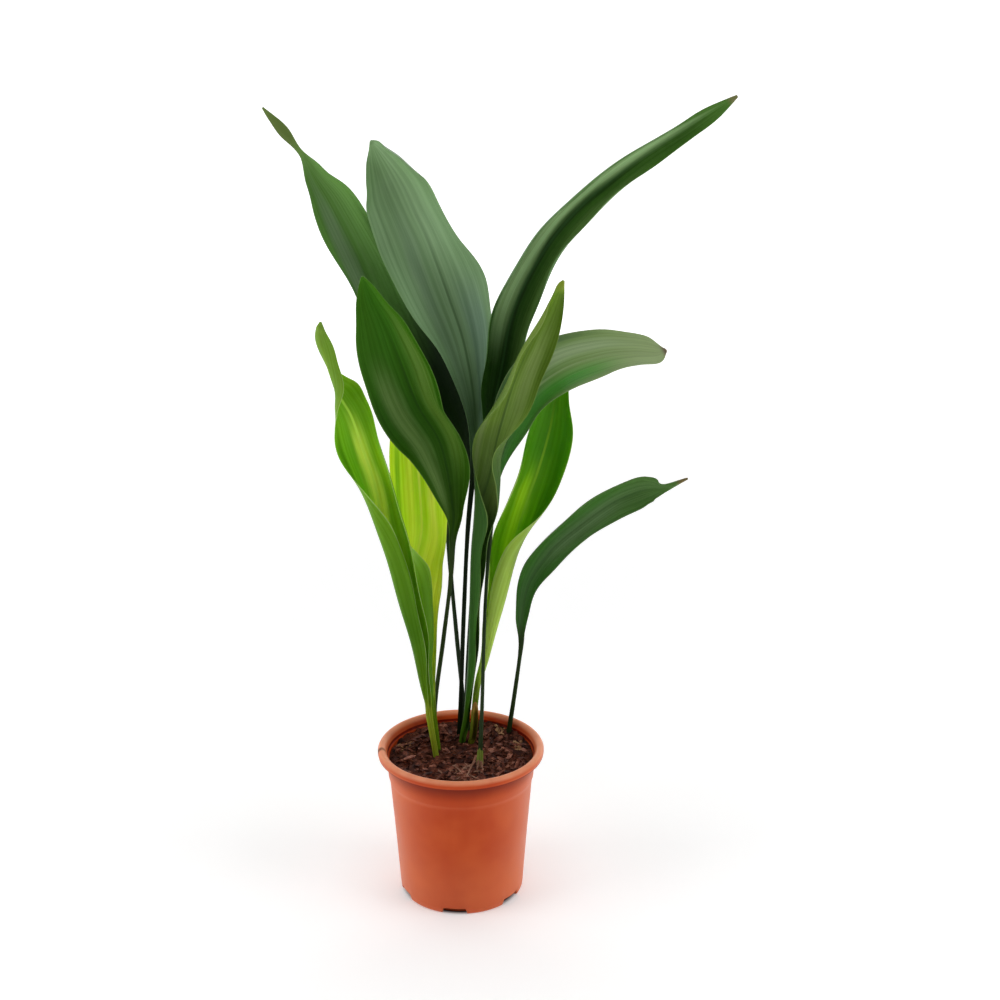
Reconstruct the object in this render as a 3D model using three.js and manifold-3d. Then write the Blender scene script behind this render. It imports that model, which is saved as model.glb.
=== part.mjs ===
// Potted cast iron plant (Aspidistra elatior) in a thin plastic nursery pot.
// Millimetres, +Z up, origin at the centre of the pot's flat base, -Y is the front.
import * as THREE from 'three';
import { mergeVertices } from 'three/addons/utils/BufferGeometryUtils.js';
import Module from 'manifold-3d';

const wasm = await Module();
wasm.setup();

// ---- Driving dimensions ----
const POT_HEIGHT = 132;
const BASE_RADIUS = 52.3;
const WALL = 1.2;
const BASE_PLATE = 1.8;
const RING_STEP_Z = 104;
const RING_STEP_RADIUS = 60.3;
const LIP_RADIUS = 70;
const LIP_SKIRT_Z = 125.4;
const NOTCH_COUNT = 6;
const NOTCH_FIRST = -95.6;
const NOTCH_HALF_ANGLE = 11.5;
const NOTCH_HEIGHT = 5.5;
const NOTCH_INNER_RADIUS = 46.5;
const NOTCH_OUTER_RADIUS = 56;
const CUP_WALL_ANGLE = 1.4;
const DRAIN_HALF_ANGLE = 5;
const DRAIN_BOTTOM = 2.2;
const DRAIN_TOP = 4.6;
const ROUND_SIDES = 60;

const SOIL_LEVEL = 117;
const SOIL_EDGE_RISE = 3;
const SOIL_BUMP = 1.4;
const SOIL_LUMPY_RADIUS = 58;
const SOIL_CALM_EDGE = 8;
const FOOT_Z = 98;
const FOOT_GAP = 0.6;
const RHIZOME_RADIUS = 4;
const BUD_TOP_MARGIN = 0.6;
const BUD_BASE_MARGIN = 1.4;
const CLEARANCE = 0.3;

const BLADE_HALF_THICKNESS = 0.4;
const MARGIN_HALF_THICKNESS = 0.2;
const MIDRIB_HEIGHT = 0.7;
const MIDRIB_WIDTH = 2.2;
const PETIOLE_UNTIL = 1.1;
const BLADE_FROM = 2.5;
const ACROSS = 7;
const STEPS_PER_STATION = 2;

const SHEATH_RADIUS = 3.6;
const SHEATH_HALF_WALL = 0.4;
const SHEATH_PLACE = [16, -12, 110];
const SHEATH_HEIGHT = 24;
const SHEATH_LEAN = 4;
const SHEATH_OPENING = 35;
const SHEATH_FACING = -70;

const degrees = THREE.MathUtils.degToRad;

// ---- Solids and geometries ----
function toSolid(geometry) {
  const bare = geometry.clone();
  bare.deleteAttribute('normal');
  bare.deleteAttribute('uv');
  const merged = mergeVertices(bare, 1e-4);
  const index = merged.index.array;
  const triangles = [];
  for (let i = 0; i < index.length; i += 3) {
    const [a, b, c] = [index[i], index[i + 1], index[i + 2]];
    if (a !== b && b !== c && c !== a) triangles.push(a, b, c);
  }
  const mesh = new wasm.Mesh({
    numProp: 3,
    vertProperties: new Float32Array(merged.attributes.position.array),
    triVerts: new Uint32Array(triangles),
  });
  return new wasm.Manifold(mesh);
}

function toGeometry(solid) {
  const mesh = solid.getMesh();
  const geometry = new THREE.BufferGeometry();
  geometry.setAttribute('position', new THREE.BufferAttribute(mesh.vertProperties, 3));
  geometry.setIndex(new THREE.BufferAttribute(mesh.triVerts, 1));
  geometry.computeVertexNormals();
  return geometry;
}

function joined(solids) {
  return solids.reduce((whole, solid) => whole.add(solid));
}

// Body of revolution about Z from a profile of [radius, height] that starts and ends on the axis.
function turned(profile) {
  const points = profile.map(([radius, height]) => new THREE.Vector2(radius, height));
  return new THREE.LatheGeometry(points, ROUND_SIDES).rotateX(Math.PI / 2);
}

// Block between two radii, as wide as its angles, used for the drain notches and their cups.
function sector(inner, outer, halfAngle, bottom, top) {
  const shape = new THREE.Shape();
  shape.absarc(0, 0, outer, -degrees(halfAngle), degrees(halfAngle), false);
  shape.absarc(0, 0, inner, degrees(halfAngle), -degrees(halfAngle), true);
  shape.closePath();
  const block = new THREE.ExtrudeGeometry(shape, {
    depth: top - bottom,
    bevelEnabled: false,
    curveSegments: 3,
  });
  return block.translate(0, 0, bottom);
}

// The same block at each of the six notches round the foot.
function aroundFoot(block) {
  const blocks = [];
  for (let k = 0; k < NOTCH_COUNT; k += 1) {
    const turn = degrees(NOTCH_FIRST + (360 * k) / NOTCH_COUNT);
    blocks.push(toSolid(block.clone().rotateZ(turn)));
  }
  return joined(blocks);
}

// ---- Pot: one thin moulding with a rolled lip, a ring step and six drain notches ----
const outsideProfile = [
  [0, 0],
  [BASE_RADIUS - 1.4, 0],
  [BASE_RADIUS, 1.4],
  [RING_STEP_RADIUS, RING_STEP_Z - 0.6],
  [RING_STEP_RADIUS + 1.2, RING_STEP_Z + 1.3],
  [RING_STEP_RADIUS + 1.9, POT_HEIGHT - 10],
  [LIP_RADIUS - 7.1, LIP_SKIRT_Z + 1],
  [LIP_RADIUS - 5.2, LIP_SKIRT_Z + 3.6],
  [LIP_RADIUS - 2.6, LIP_SKIRT_Z + 3.8],
  [LIP_RADIUS - 1.4, LIP_SKIRT_Z + 2.4],
  [LIP_RADIUS - 1.2, LIP_SKIRT_Z],
  [LIP_RADIUS, LIP_SKIRT_Z],
  [LIP_RADIUS, LIP_SKIRT_Z + 3.6],
  [LIP_RADIUS - 0.8, LIP_SKIRT_Z + 5.5],
  [LIP_RADIUS - 2.6, POT_HEIGHT],
  [0, POT_HEIGHT],
];

// Inside of the wall and base, moved inwards by `gap` where the soil follows it.
function insideProfile(gap, top) {
  return [
    [0, BASE_PLATE + gap],
    [BASE_RADIUS - 2.1 - gap, BASE_PLATE + gap],
    [BASE_RADIUS - 1.3 - gap, BASE_PLATE + 1 + gap],
    [RING_STEP_RADIUS - WALL - gap, RING_STEP_Z - 0.3],
    [RING_STEP_RADIUS - gap, RING_STEP_Z + 1.6],
    ...top,
  ];
}

const flare = [
  [RING_STEP_RADIUS + 0.7, POT_HEIGHT - 9.7],
  [RING_STEP_RADIUS + 1.5, POT_HEIGHT - 4.8],
  [RING_STEP_RADIUS + 3.1, POT_HEIGHT - 1.6],
  [LIP_RADIUS - 4, POT_HEIGHT],
  [LIP_RADIUS - 3.8, POT_HEIGHT + 1],
  [0, POT_HEIGHT + 1],
];

const cupHalfAngle = NOTCH_HALF_ANGLE + CUP_WALL_ANGLE;
const notches = aroundFoot(
  sector(NOTCH_INNER_RADIUS, NOTCH_OUTER_RADIUS, NOTCH_HALF_ANGLE, -1, NOTCH_HEIGHT),
);
const cupOutsides = aroundFoot(
  sector(NOTCH_INNER_RADIUS - WALL, NOTCH_OUTER_RADIUS, cupHalfAngle, -1, NOTCH_HEIGHT + WALL),
);
const drainSlots = aroundFoot(
  sector(NOTCH_INNER_RADIUS - 3, NOTCH_INNER_RADIUS + 1, DRAIN_HALF_ANGLE, DRAIN_BOTTOM, DRAIN_TOP),
);
const cavity = toSolid(turned(insideProfile(0, flare))).subtract(cupOutsides);
const pot = toSolid(turned(outsideProfile)).subtract(notches).subtract(cavity).subtract(drainSlots);

// ---- Leaves: each one is swept through its own stations, from the rhizome to the tip ----
// A station is [x, y, z, half width, turn, left roll, right roll]. The half width is measured along the
// curved section from the midrib to a margin. The turn rotates the upper face from the front towards
// the right. A roll is the angle through which that half of the section curls towards the upper face.
const stations = {
  leaf_young_left: [
    [-19, 4, 98, 2.4, 60, 60, 60],
    [-21, 4, 118, 2.5, 60, 60, 60],
    [-27, 2, 158, 3.5, 60, 100, 100],
    [-33, 0, 189, 11, 55, 185, 150],
    [-39, -3, 228, 20, 50, 190, 150],
    [-48, -6, 264, 25, 55, 200, 150],
    [-55, -9, 300, 27, 45, 210, 145],
    [-61, -12, 333, 29, 25, 195, 125],
    [-66, -15, 366, 28, 5, 145, 110],
    [-75, -18, 398, 26, 0, 85, 90],
    [-82, -21, 422, 23, 10, 90, 80],
    [-89, -23, 436, 20, 30, 110, 80],
    [-94, -25, 447, 15, 80, 100, 80],
    [-98, -27, 462, 10, 125, 70, 70],
    [-101, -29, 476, 8.5, 155, 55, 55],
    [-103, -30, 487, 6, 160, 45, 45],
    [-102, -31, 498, 0.8, 160, 30, 30],
  ],
  leaf_young_behind: [
    [-19, 16, 98, 2.2, 60, 60, 60],
    [-20, 16, 120, 2.4, 60, 60, 60],
    [-24, 18, 153, 3, 60, 100, 100],
    [-31, 20, 182, 12, 75, 185, 150],
    [-35, 22, 217, 21, 80, 195, 150],
    [-39, 24, 253, 28, 75, 200, 140],
    [-37, 28, 285, 30, 40, 180, 120],
    [-32, 30, 312, 31, 5, 110, 90],
    [-33, 32, 346, 29, 0, 75, 70],
    [-36, 33, 389, 24, 0, 60, 60],
    [-41, 35, 430, 14, 0, 50, 50],
    [-44, 37, 466, 1, 0, 30, 30],
  ],
  leaf_front_left: [
    [-24, 40, 98, 1.7, 0, 60, 60],
    [-23, 36, 151, 1.6, 0, 60, 60],
    [-15, 30, 214, 1.6, 0, 60, 60],
    [-8, 21, 272, 1.6, 0, 60, 60],
    [-6, 10, 312, 4, 10, 80, 80],
    [-5, 0, 342, 12, 10, 95, 80],
    [-13, -12, 396, 29.5, -10, 60, 60],
    [-31, -16, 430, 33.5, -10, 50, 70],
    [-43, -26, 466, 32, -5, 45, 60],
    [-53, -34, 496, 25, -10, 50, 60],
    [-62, -39, 516, 14.5, -10, 45, 60],
    [-69, -42, 534, 1, 0, 20, 20],
  ],
  leaf_tall_left: [
    [-3, 50, 98, 1.7, 0, 60, 60],
    [1, 50, 140, 1.6, 0, 60, 60],
    [-4, 51, 205, 1.6, 0, 60, 60],
    [-9, 53, 269, 1.7, 0, 60, 60],
    [-11, 58, 312, 5, 0, 60, 60],
    [-11, 63, 363, 26, 10, 70, 60],
    [-26, 70, 413, 35.5, 10, 80, 60],
    [-48, 76, 462, 34, 10, 90, 60],
    [-65, 80, 502, 33, 10, 90, 60],
    [-80, 84, 535, 30, 0, 80, 70],
    [-100, 87, 573, 24, -5, 70, 75],
    [-114, 89, 593, 14, -5, 70, 75],
    [-127, 90, 612, 2.5, 20, 40, 40],
    [-142, 91, 630, 5, 20, 40, 40],
    [-157, 92, 648, 0.8, 20, 20, 20],
  ],
  leaf_tall_centre: [
    [-4, 41, 98, 1.7, 0, 60, 60],
    [-1, 41, 153, 1.6, 0, 60, 60],
    [2, 41, 228, 1.6, 0, 60, 60],
    [6, 46, 307, 1.7, 0, 60, 60],
    [12, 50, 371, 4, 0, 60, 60],
    [12, 52, 413, 16, 0, 110, 110],
    [4, 56, 462, 32, 0, 90, 75],
    [-9, 58, 503, 40.5, 0, 70, 60],
    [-24, 58, 545, 41.5, -20, 60, 60],
    [-35, 59, 569, 38.5, -20, 65, 65],
    [-44, 59, 589, 36, -20, 70, 70],
    [-52, 58, 603, 27.5, -20, 75, 80],
    [-61, 61, 615, 15, -20, 70, 80],
    [-69, 64, 624, 1, -20, 10, 10],
  ],
  leaf_arching_right: [
    [8, 45, 98, 1.7, -10, 60, 60],
    [4, 45, 151, 1.6, -10, 60, 60],
    [9, 43, 245, 1.6, -10, 60, 60],
    [16, 42, 334, 1.7, -10, 60, 60],
    [24, 44, 394, 7, -10, 80, 80],
    [34, 38, 446, 22, -5, 100, 95],
    [44, 31, 496, 28.5, -5, 110, 100],
    [67, 22, 543, 25, -10, 115, 110],
    [96, 12, 580, 21.5, -10, 120, 110],
    [136, 0, 614, 16.5, -10, 110, 105],
    [174, -9, 639, 11, -10, 90, 90],
    [206, -18, 662, 1, -10, 15, 15],
  ],
  leaf_narrow_front: [
    [0, 30, 98, 2.6, 60, 60, 60],
    [0, 30, 118, 3.5, 60, 60, 60],
    [3, 26, 149, 6, 50, 170, 150],
    [7, 20, 200, 10, 50, 180, 155],
    [9, 12, 257, 12.5, 50, 185, 155],
    [11, 6, 307, 17, 50, 195, 150],
    [17, 2, 341, 23, 20, 190, 130],
    [25, -4, 371, 25, -20, 150, 110],
    [31, -12, 403, 25, -30, 125, 120],
    [43, -22, 447, 23, 30, 90, 100],
    [56, -30, 480, 20, 30, 90, 85],
    [69, -36, 507, 13, 35, 85, 80],
    [80, -42, 531, 1, 30, 20, 20],
  ],
  leaf_level_right: [
    [16, -12, 98, 2, -60, 60, 60],
    [16, -12, 121, 2.2, -60, 60, 60],
    [18, -2, 173, 1.7, -60, 60, 60],
    [20, 14, 239, 1.6, -60, 60, 60],
    [23, 17, 291, 1.7, -60, 60, 60],
    [28, 18, 342, 4, -60, 60, 60],
    [35, 12, 386, 13, -30, 50, 50],
    [53, 4, 429, 24, -40, 50, 50],
    [80, 2, 453, 31, -60, 30, 30],
    [112, 10, 463, 26, -60, 25, 25],
    [137, 16, 465, 21, -60, 20, 20],
    [155, 19, 464, 15, -60, 20, 20],
    [165, 21, 465, 1, -60, 10, 10],
  ],
  leaf_young_right: [
    [9, 37, 98, 2.2, -50, 60, 60],
    [9, 37, 119, 2.4, -50, 60, 60],
    [13, 38, 159, 3.5, -50, 100, 100],
    [22, 40, 191, 10, -50, 160, 190],
    [29, 42, 220, 18, -50, 165, 190],
    [36, 44, 249, 25, -45, 165, 195],
    [44, 47, 291, 29, -30, 130, 170],
    [55, 50, 329, 29, -5, 105, 110],
    [65, 52, 358, 28, 0, 100, 80],
    [74, 54, 391, 25, -10, 95, 60],
    [79, 56, 419, 15, -10, 70, 60],
    [85, 58, 445, 1, 0, 20, 20],
  ],
  leaf_low_right: [
    [36, 38, 98, 1.8, -20, 60, 60],
    [40, 40, 120, 1.9, -20, 60, 60],
    [46, 40, 163, 1.6, -20, 60, 60],
    [51, 40, 205, 2, -20, 60, 60],
    [52, 38, 234, 7, -20, 80, 60],
    [58, 36, 264, 12, -20, 90, 60],
    [76, 32, 294, 19, -20, 105, 90],
    [101, 28, 318, 19.5, -20, 100, 90],
    [126, 24, 338, 19.5, -20, 90, 90],
    [146, 21, 348, 19, -20, 80, 85],
    [157, 19, 351, 13, -20, 60, 70],
    [166, 18, 352, 4, -20, 40, 40],
    [185, 16, 361, 0.8, 0, 10, 10],
  ],
  young_shoot: [
    [8, 26, 98, 2, 20, 60, 60],
    [8, 26, 119, 2.4, 20, 60, 60],
    [8.6, 25, 129, 6, 20, 150, 120],
    [9.5, 24, 140, 6.5, 20, 155, 120],
    [11, 23, 151, 4, 20, 120, 90],
    [12, 22, 160, 0.8, 20, 40, 40],
  ],
};

const leafColours = {
  leaf_young_left: 0x568a14,
  leaf_young_behind: 0x83a61a,
  leaf_front_left: 0x3c6a1e,
  leaf_tall_left: 0x3a6632,
  leaf_tall_centre: 0x5f8263,
  leaf_arching_right: 0x365f2c,
  leaf_narrow_front: 0x5c7238,
  leaf_level_right: 0x5f8452,
  leaf_young_right: 0x5a8c16,
  leaf_low_right: 0x31602c,
  young_shoot: 0x77702c,
};

// Smooth curve through the stations, one unit of t from each to the next.
function stationAt(rows, t) {
  const last = rows.length - 1;
  const i = Math.min(Math.floor(t), last - 1);
  const u = t - i;
  const before = rows[Math.max(i - 1, 0)];
  const after = rows[Math.min(i + 2, last)];
  return rows[i].map((value, column) => {
    const next = rows[i + 1][column];
    const slopeIn = i > 0 ? (next - before[column]) / 2 : next - value;
    const slopeOut = i + 2 <= last ? (after[column] - value) / 2 : next - value;
    const u2 = u * u;
    const u3 = u2 * u;
    const start = (2 * u3 - 3 * u2 + 1) * value + (u3 - 2 * u2 + u) * slopeIn;
    const end = (3 * u2 - 2 * u3) * next + (u3 - u2) * slopeOut;
    return start + end;
  });
}

// Rings of the leaf: its place, the direction across it and the direction its upper face looks in.
function leafFrames(rows) {
  const count = (rows.length - 1) * STEPS_PER_STATION;
  const rings = [];
  for (let k = 0; k <= count; k += 1) {
    const [x, y, z, halfWidth, turn, rollLeft, rollRight] = stationAt(rows, k / STEPS_PER_STATION);
    rings.push({ place: new THREE.Vector3(x, y, z), halfWidth, turn, rollLeft, rollRight });
  }
  const carried = new THREE.Vector3(0, -1, 0);
  rings.forEach((ring, k) => {
    const ahead = rings[Math.min(k + 1, count)].place;
    const behind = rings[Math.max(k - 1, 0)].place;
    ring.along = ahead.clone().sub(behind).normalize();
    carried.addScaledVector(ring.along, -carried.dot(ring.along)).normalize();
    ring.face = carried.clone().applyAxisAngle(ring.along, degrees(ring.turn));
    ring.across = ring.along.clone().cross(ring.face);
  });
  return rings;
}

// One point of a section. `side` runs from -1 at the left margin to 1 at the right margin.
function sectionPoint(ring, side, upper, petiole, grow) {
  const halfWidth = Math.max(ring.halfWidth, 0.5) + grow;
  const roll = Math.max(degrees(side < 0 ? ring.rollLeft : ring.rollRight), 0.01);
  const radius = halfWidth / roll;
  const angle = roll * side;
  const flat = THREE.MathUtils.smoothstep(
    ring.halfWidth,
    PETIOLE_UNTIL * petiole,
    BLADE_FROM * petiole,
  );
  const stem = Math.min(ring.halfWidth, petiole) * Math.sqrt(1 - 0.95 * side * side);
  const towardTip = MARGIN_HALF_THICKNESS + 0.1 * ring.halfWidth;
  const thin = Math.min(BLADE_HALF_THICKNESS, towardTip) * (1 - 0.4 * side * side);
  const half = THREE.MathUtils.lerp(stem, thin, flat);
  const rib = MIDRIB_HEIGHT * flat * Math.min(1, ring.halfWidth / 20);
  const ribHere = rib * Math.exp(-(((side * ring.halfWidth) / MIDRIB_WIDTH) ** 2));
  const tightest = ring.halfWidth / degrees(Math.max(ring.rollLeft, ring.rollRight));
  const offset = upper ? Math.min(half, 0.7 * tightest) + grow : -(half + ribHere + grow);
  return ring.place
    .clone()
    .addScaledVector(ring.across, (radius - offset) * Math.sin(angle))
    .addScaledVector(ring.face, radius - (radius - offset) * Math.cos(angle));
}

function leafGeometry(rows, grow = 0) {
  const rings = leafFrames(rows);
  const petiole = rows[0][3];
  rings[0].place.addScaledVector(rings[0].along, -grow);
  const size = 2 * ACROSS;
  const positions = [];
  const index = [];
  rings.forEach((ring) => {
    for (let k = 0; k < size; k += 1) {
      const upper = k < ACROSS;
      const step = upper ? k : size - 1 - k;
      const side = (2 * step) / (ACROSS - 1) - 1;
      positions.push(...sectionPoint(ring, side, upper, petiole, grow).toArray());
    }
  });
  for (let r = 0; r < rings.length - 1; r += 1) {
    for (let k = 0; k < size; k += 1) {
      const a = r * size + k;
      const b = r * size + ((k + 1) % size);
      index.push(a, b, b + size, a, b + size, a + size);
    }
  }
  const lastRing = (rings.length - 1) * size;
  for (let k = 0; k < ACROSS - 1; k += 1) {
    const mate = size - 1 - k;
    index.push(k, mate, mate - 1, k, mate - 1, k + 1);
    const [a, b, c, d] = [k, k + 1, mate - 1, mate].map((value) => lastRing + value);
    index.push(a, b, c, a, c, d);
  }
  const geometry = new THREE.BufferGeometry();
  geometry.setAttribute('position', new THREE.Float32BufferAttribute(positions, 3));
  geometry.setIndex(index);
  geometry.computeVertexNormals();
  return geometry;
}

// ---- Papery scale leaf, a split tube round the foot of the level leaf ----
function sheathSolid(grow) {
  const outline = new THREE.Shape();
  const open = degrees(SHEATH_OPENING) - grow / (SHEATH_RADIUS - SHEATH_HALF_WALL);
  outline.absarc(0, 0, SHEATH_RADIUS + SHEATH_HALF_WALL + grow, open, 2 * Math.PI - open, false);
  outline.absarc(0, 0, SHEATH_RADIUS - SHEATH_HALF_WALL - grow, 2 * Math.PI - open, open, true);
  outline.closePath();
  const tube = new THREE.ExtrudeGeometry(outline, {
    depth: SHEATH_HEIGHT + grow,
    bevelEnabled: false,
    curveSegments: 9,
  });
  tube.translate(0, 0, -grow).rotateZ(degrees(SHEATH_FACING)).rotateX(degrees(-SHEATH_LEAN));
  return toSolid(tube.translate(...SHEATH_PLACE));
}

// ---- Rhizome: the creeping stem under the soil, with a bud under every leaf ----
const feet = Object.values(stations).map((rows) => rows[0]);
const RHIZOME_Z = FOOT_Z - FOOT_GAP - RHIZOME_RADIUS;
const rhizomeRuns = [
  [[-30, 40], [-20, 40], [-3, 45], [8, 42], [24, 36], [38, 38]],
  [[-3, 45], [0, 30], [-12, 19], [-19, 12], [-19, 0]],
  [[0, 30], [8, 26], [13, 8], [16, -12], [16, -17]],
];

function rhizomeSolid(grow) {
  const ring = new THREE.Shape();
  ring.absarc(0, 0, RHIZOME_RADIUS + grow, 0, 2 * Math.PI, false);
  const runs = rhizomeRuns.map((run) => {
    const points = run.map(([x, y]) => new THREE.Vector3(x, y, RHIZOME_Z));
    const [first, second] = [points[0], points[1]];
    const [last, beforeLast] = [points.at(-1), points.at(-2)];
    first.addScaledVector(first.clone().sub(second).normalize(), grow);
    last.addScaledVector(last.clone().sub(beforeLast).normalize(), grow);
    const path = new THREE.CatmullRomCurve3(points);
    const tube = new THREE.ExtrudeGeometry(ring, {
      steps: 3 * (run.length - 1),
      curveSegments: 5,
      bevelEnabled: false,
      extrudePath: path,
    });
    return toSolid(tube);
  });
  const buds = feet.map(([x, y, , radius]) => {
    const height = RHIZOME_RADIUS + 2 * grow;
    const top = radius + BUD_TOP_MARGIN + grow;
    const bud = new THREE.CylinderGeometry(top, radius + BUD_BASE_MARGIN + grow, height, 8);
    bud.rotateX(Math.PI / 2);
    return toSolid(bud.translate(x, y, RHIZOME_Z + height / 2 - grow));
  });
  return joined([...runs, ...buds]);
}

// ---- Soil: the root ball, clear of the pot, the cups, the rhizome and every stalk ----
const soilTop = [
  [RING_STEP_RADIUS + 0.5 - CLEARANCE, SOIL_LEVEL + SOIL_EDGE_RISE],
  [52, SOIL_LEVEL + 0.4 * SOIL_EDGE_RISE],
  [42, SOIL_LEVEL],
  [31, SOIL_LEVEL],
  [20, SOIL_LEVEL],
  [10, SOIL_LEVEL],
  [0, SOIL_LEVEL],
];

function lumpySoil() {
  const body = turned(insideProfile(CLEARANCE, soilTop));
  const place = body.attributes.position;
  for (let i = 0; i < place.count; i += 1) {
    const [x, y, z] = [place.getX(i), place.getY(i), place.getZ(i)];
    const fromEdge = SOIL_LUMPY_RADIUS - Math.hypot(x, y);
    const inner = THREE.MathUtils.smoothstep(fromEdge, 0, SOIL_CALM_EDGE);
    const bump = SOIL_BUMP * Math.sin(x / 6 + 1) * Math.cos(y / 5 - x / 11);
    if (z > SOIL_LEVEL - 2) place.setZ(i, z + bump * inner);
  }
  return toSolid(body);
}

function degreesAcross(gap) {
  return THREE.MathUtils.radToDeg(gap / (NOTCH_INNER_RADIUS - WALL));
}

const soilNotches = aroundFoot(
  sector(
    NOTCH_INNER_RADIUS - WALL - CLEARANCE,
    NOTCH_OUTER_RADIUS,
    cupHalfAngle + degreesAcross(CLEARANCE),
    -1,
    NOTCH_HEIGHT + WALL + CLEARANCE,
  ),
);
const sockets = Object.values(stations).map((rows) => toSolid(leafGeometry(rows.slice(0, 3), CLEARANCE)));
const soil = lumpySoil()
  .subtract(soilNotches)
  .subtract(joined(sockets))
  .subtract(rhizomeSolid(CLEARANCE))
  .subtract(sheathSolid(CLEARANCE));

// ---- The assembled plant ----
const plant = new THREE.Group();

function place(name, geometry, colour, roughness) {
  const material = new THREE.MeshStandardMaterial({ color: colour, roughness, metalness: 0 });
  const mesh = new THREE.Mesh(geometry, material);
  mesh.name = name;
  plant.add(mesh);
}

place('pot', toGeometry(pot), 0xc4593a, 0.45);
place('soil', toGeometry(soil), 0x3b241c, 0.95);
place('rhizome', toGeometry(rhizomeSolid(0)), 0x8a6f4e, 0.8);
place('base_sheath', toGeometry(sheathSolid(0)), 0x8d6b3c, 0.8);
Object.entries(stations).forEach(([name, rows]) => {
  place(name, leafGeometry(rows), leafColours[name], 0.5);
});

export default plant;
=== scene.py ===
"""A potted cast iron plant: ten leaves on thin stalks in a terracotta-coloured plastic nursery pot."""

import math
import random

import bpy
from mathutils import Matrix, Vector, noise

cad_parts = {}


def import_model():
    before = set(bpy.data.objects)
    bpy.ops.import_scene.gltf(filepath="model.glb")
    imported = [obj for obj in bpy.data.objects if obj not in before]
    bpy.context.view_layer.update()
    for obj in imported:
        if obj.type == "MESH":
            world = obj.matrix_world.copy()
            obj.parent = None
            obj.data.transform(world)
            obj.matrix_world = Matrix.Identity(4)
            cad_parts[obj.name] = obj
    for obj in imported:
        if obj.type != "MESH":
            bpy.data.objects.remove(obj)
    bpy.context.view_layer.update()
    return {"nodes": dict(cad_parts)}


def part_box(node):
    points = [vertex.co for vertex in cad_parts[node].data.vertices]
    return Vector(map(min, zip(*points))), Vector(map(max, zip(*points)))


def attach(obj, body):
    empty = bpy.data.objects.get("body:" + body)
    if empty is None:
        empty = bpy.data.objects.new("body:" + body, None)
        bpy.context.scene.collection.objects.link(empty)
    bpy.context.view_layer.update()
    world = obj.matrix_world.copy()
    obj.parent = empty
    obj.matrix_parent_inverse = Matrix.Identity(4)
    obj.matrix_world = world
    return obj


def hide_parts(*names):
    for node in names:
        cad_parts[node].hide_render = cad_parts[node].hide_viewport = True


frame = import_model()

# ---------------------------------------------------------------- camera, floor and light
# The plant stands on a pale studio sweep: a floor that curves up behind it into a wall. Two wide
# soft lights stand at its sides, a third hangs over it, and the camera looks slightly down at it.

CAMERA_PLACE = (0.033, -1.168, 0.716)
CAMERA_TILT_DOWN = math.radians(17.5)
CAMERA_LENS_MM = 55

camera_data = bpy.data.cameras.new("camera")
camera_data.lens = CAMERA_LENS_MM
camera_data.sensor_width = 36
camera_data.clip_start = 0.05
camera_data.clip_end = 60
camera = bpy.data.objects.new("camera", camera_data)
camera.location = CAMERA_PLACE
camera.rotation_euler = (math.pi / 2 - CAMERA_TILT_DOWN, 0, 0)
bpy.context.scene.collection.objects.link(camera)
bpy.context.scene.camera = camera
bpy.context.scene.view_settings.view_transform = "Standard"


def enter(mode):
    """Puts the active piece into edit mode, or back into object mode."""
    bpy.ops.object.mode_set(mode=mode)


def painted(name, colour, roughness, **settings):
    """A new material, its node tree and its shader, with any other inputs that are given by name."""
    material = bpy.data.materials.new(name)
    material.use_nodes = True
    shader = material.node_tree.nodes["Principled BSDF"]
    shader.inputs["Base Color"].default_value = (*colour, 1)
    shader.inputs["Roughness"].default_value = roughness
    for key, value in settings.items():
        shader.inputs[key.replace("_", " ")].default_value = value
    return material, material.node_tree, shader


def srgb(red, green, blue):
    """A colour given in the usual 0 to 255 steps, as the linear values that the shaders take."""
    steps = (value / 255 for value in (red, green, blue))
    return tuple(v / 12.92 if v <= 0.04045 else ((v + 0.055) / 1.055) ** 2.4 for v in steps)


def add(tree, kind, **settings):
    """A new shader node of a kind. Each setting is one of its own, or else the value of an input."""
    node = tree.nodes.new("ShaderNode" + kind)
    for key, value in settings.items():
        if key in node.bl_rna.properties:
            setattr(node, key, value)
        else:
            node.inputs[key.replace("_", " ")].default_value = value
    return node


def feed(tree, value, target):
    """Links an input to a socket, or sets it to a number or a colour."""
    if isinstance(value, tuple):
        target.default_value = (*value, 1)
    elif isinstance(value, (int, float)):
        target.default_value = value
    else:
        tree.links.new(value, target)


def number(tree, operation, *values, clamp=False):
    """A Math node over sockets or numbers. Gives its output socket."""
    node = add(tree, "Math", operation=operation, use_clamp=clamp)
    for value, target in zip(values, node.inputs):
        feed(tree, value, target)
    return node.outputs[0]


def times(tree, first, second):
    return number(tree, "MULTIPLY", first, second)


def between(tree, value, low, high):
    """0 where value is at or before low, 1 at or past high, smooth in between."""
    node = add(tree, "MapRange", interpolation_type="SMOOTHSTEP", From_Min=low, From_Max=high)
    tree.links.new(value, node.inputs["Value"])
    return node.outputs["Result"]


# Numbers of a Mix node's sockets, where it mixes colours.
MIX_SHARE = 0
MIX_FIRST = 6
MIX_SECOND = 7
MIX_COLOUR = 2


def blended(tree, share, first, second):
    """Mixes two colours, each a socket or a tuple, by a share that is a socket or a number."""
    node = add(tree, "Mix", data_type="RGBA")
    feed(tree, share, node.inputs[MIX_SHARE])
    feed(tree, first, node.inputs[MIX_FIRST])
    feed(tree, second, node.inputs[MIX_SECOND])
    return node.outputs[MIX_COLOUR]


def object_point(tree):
    """The place of the shaded point on its piece, in metres."""
    return add(tree, "TexCoord").outputs["Object"]


SWEEP_WIDTH = 14.0
SWEEP_FRONT = -5.0
SWEEP_BEND = 3.2
SWEEP_RADIUS = 1.6
SWEEP_TOP = 6.0
SWEEP_BEND_STEPS = 24
SWEEP_COLOUR = (0.90, 0.90, 0.90)
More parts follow.
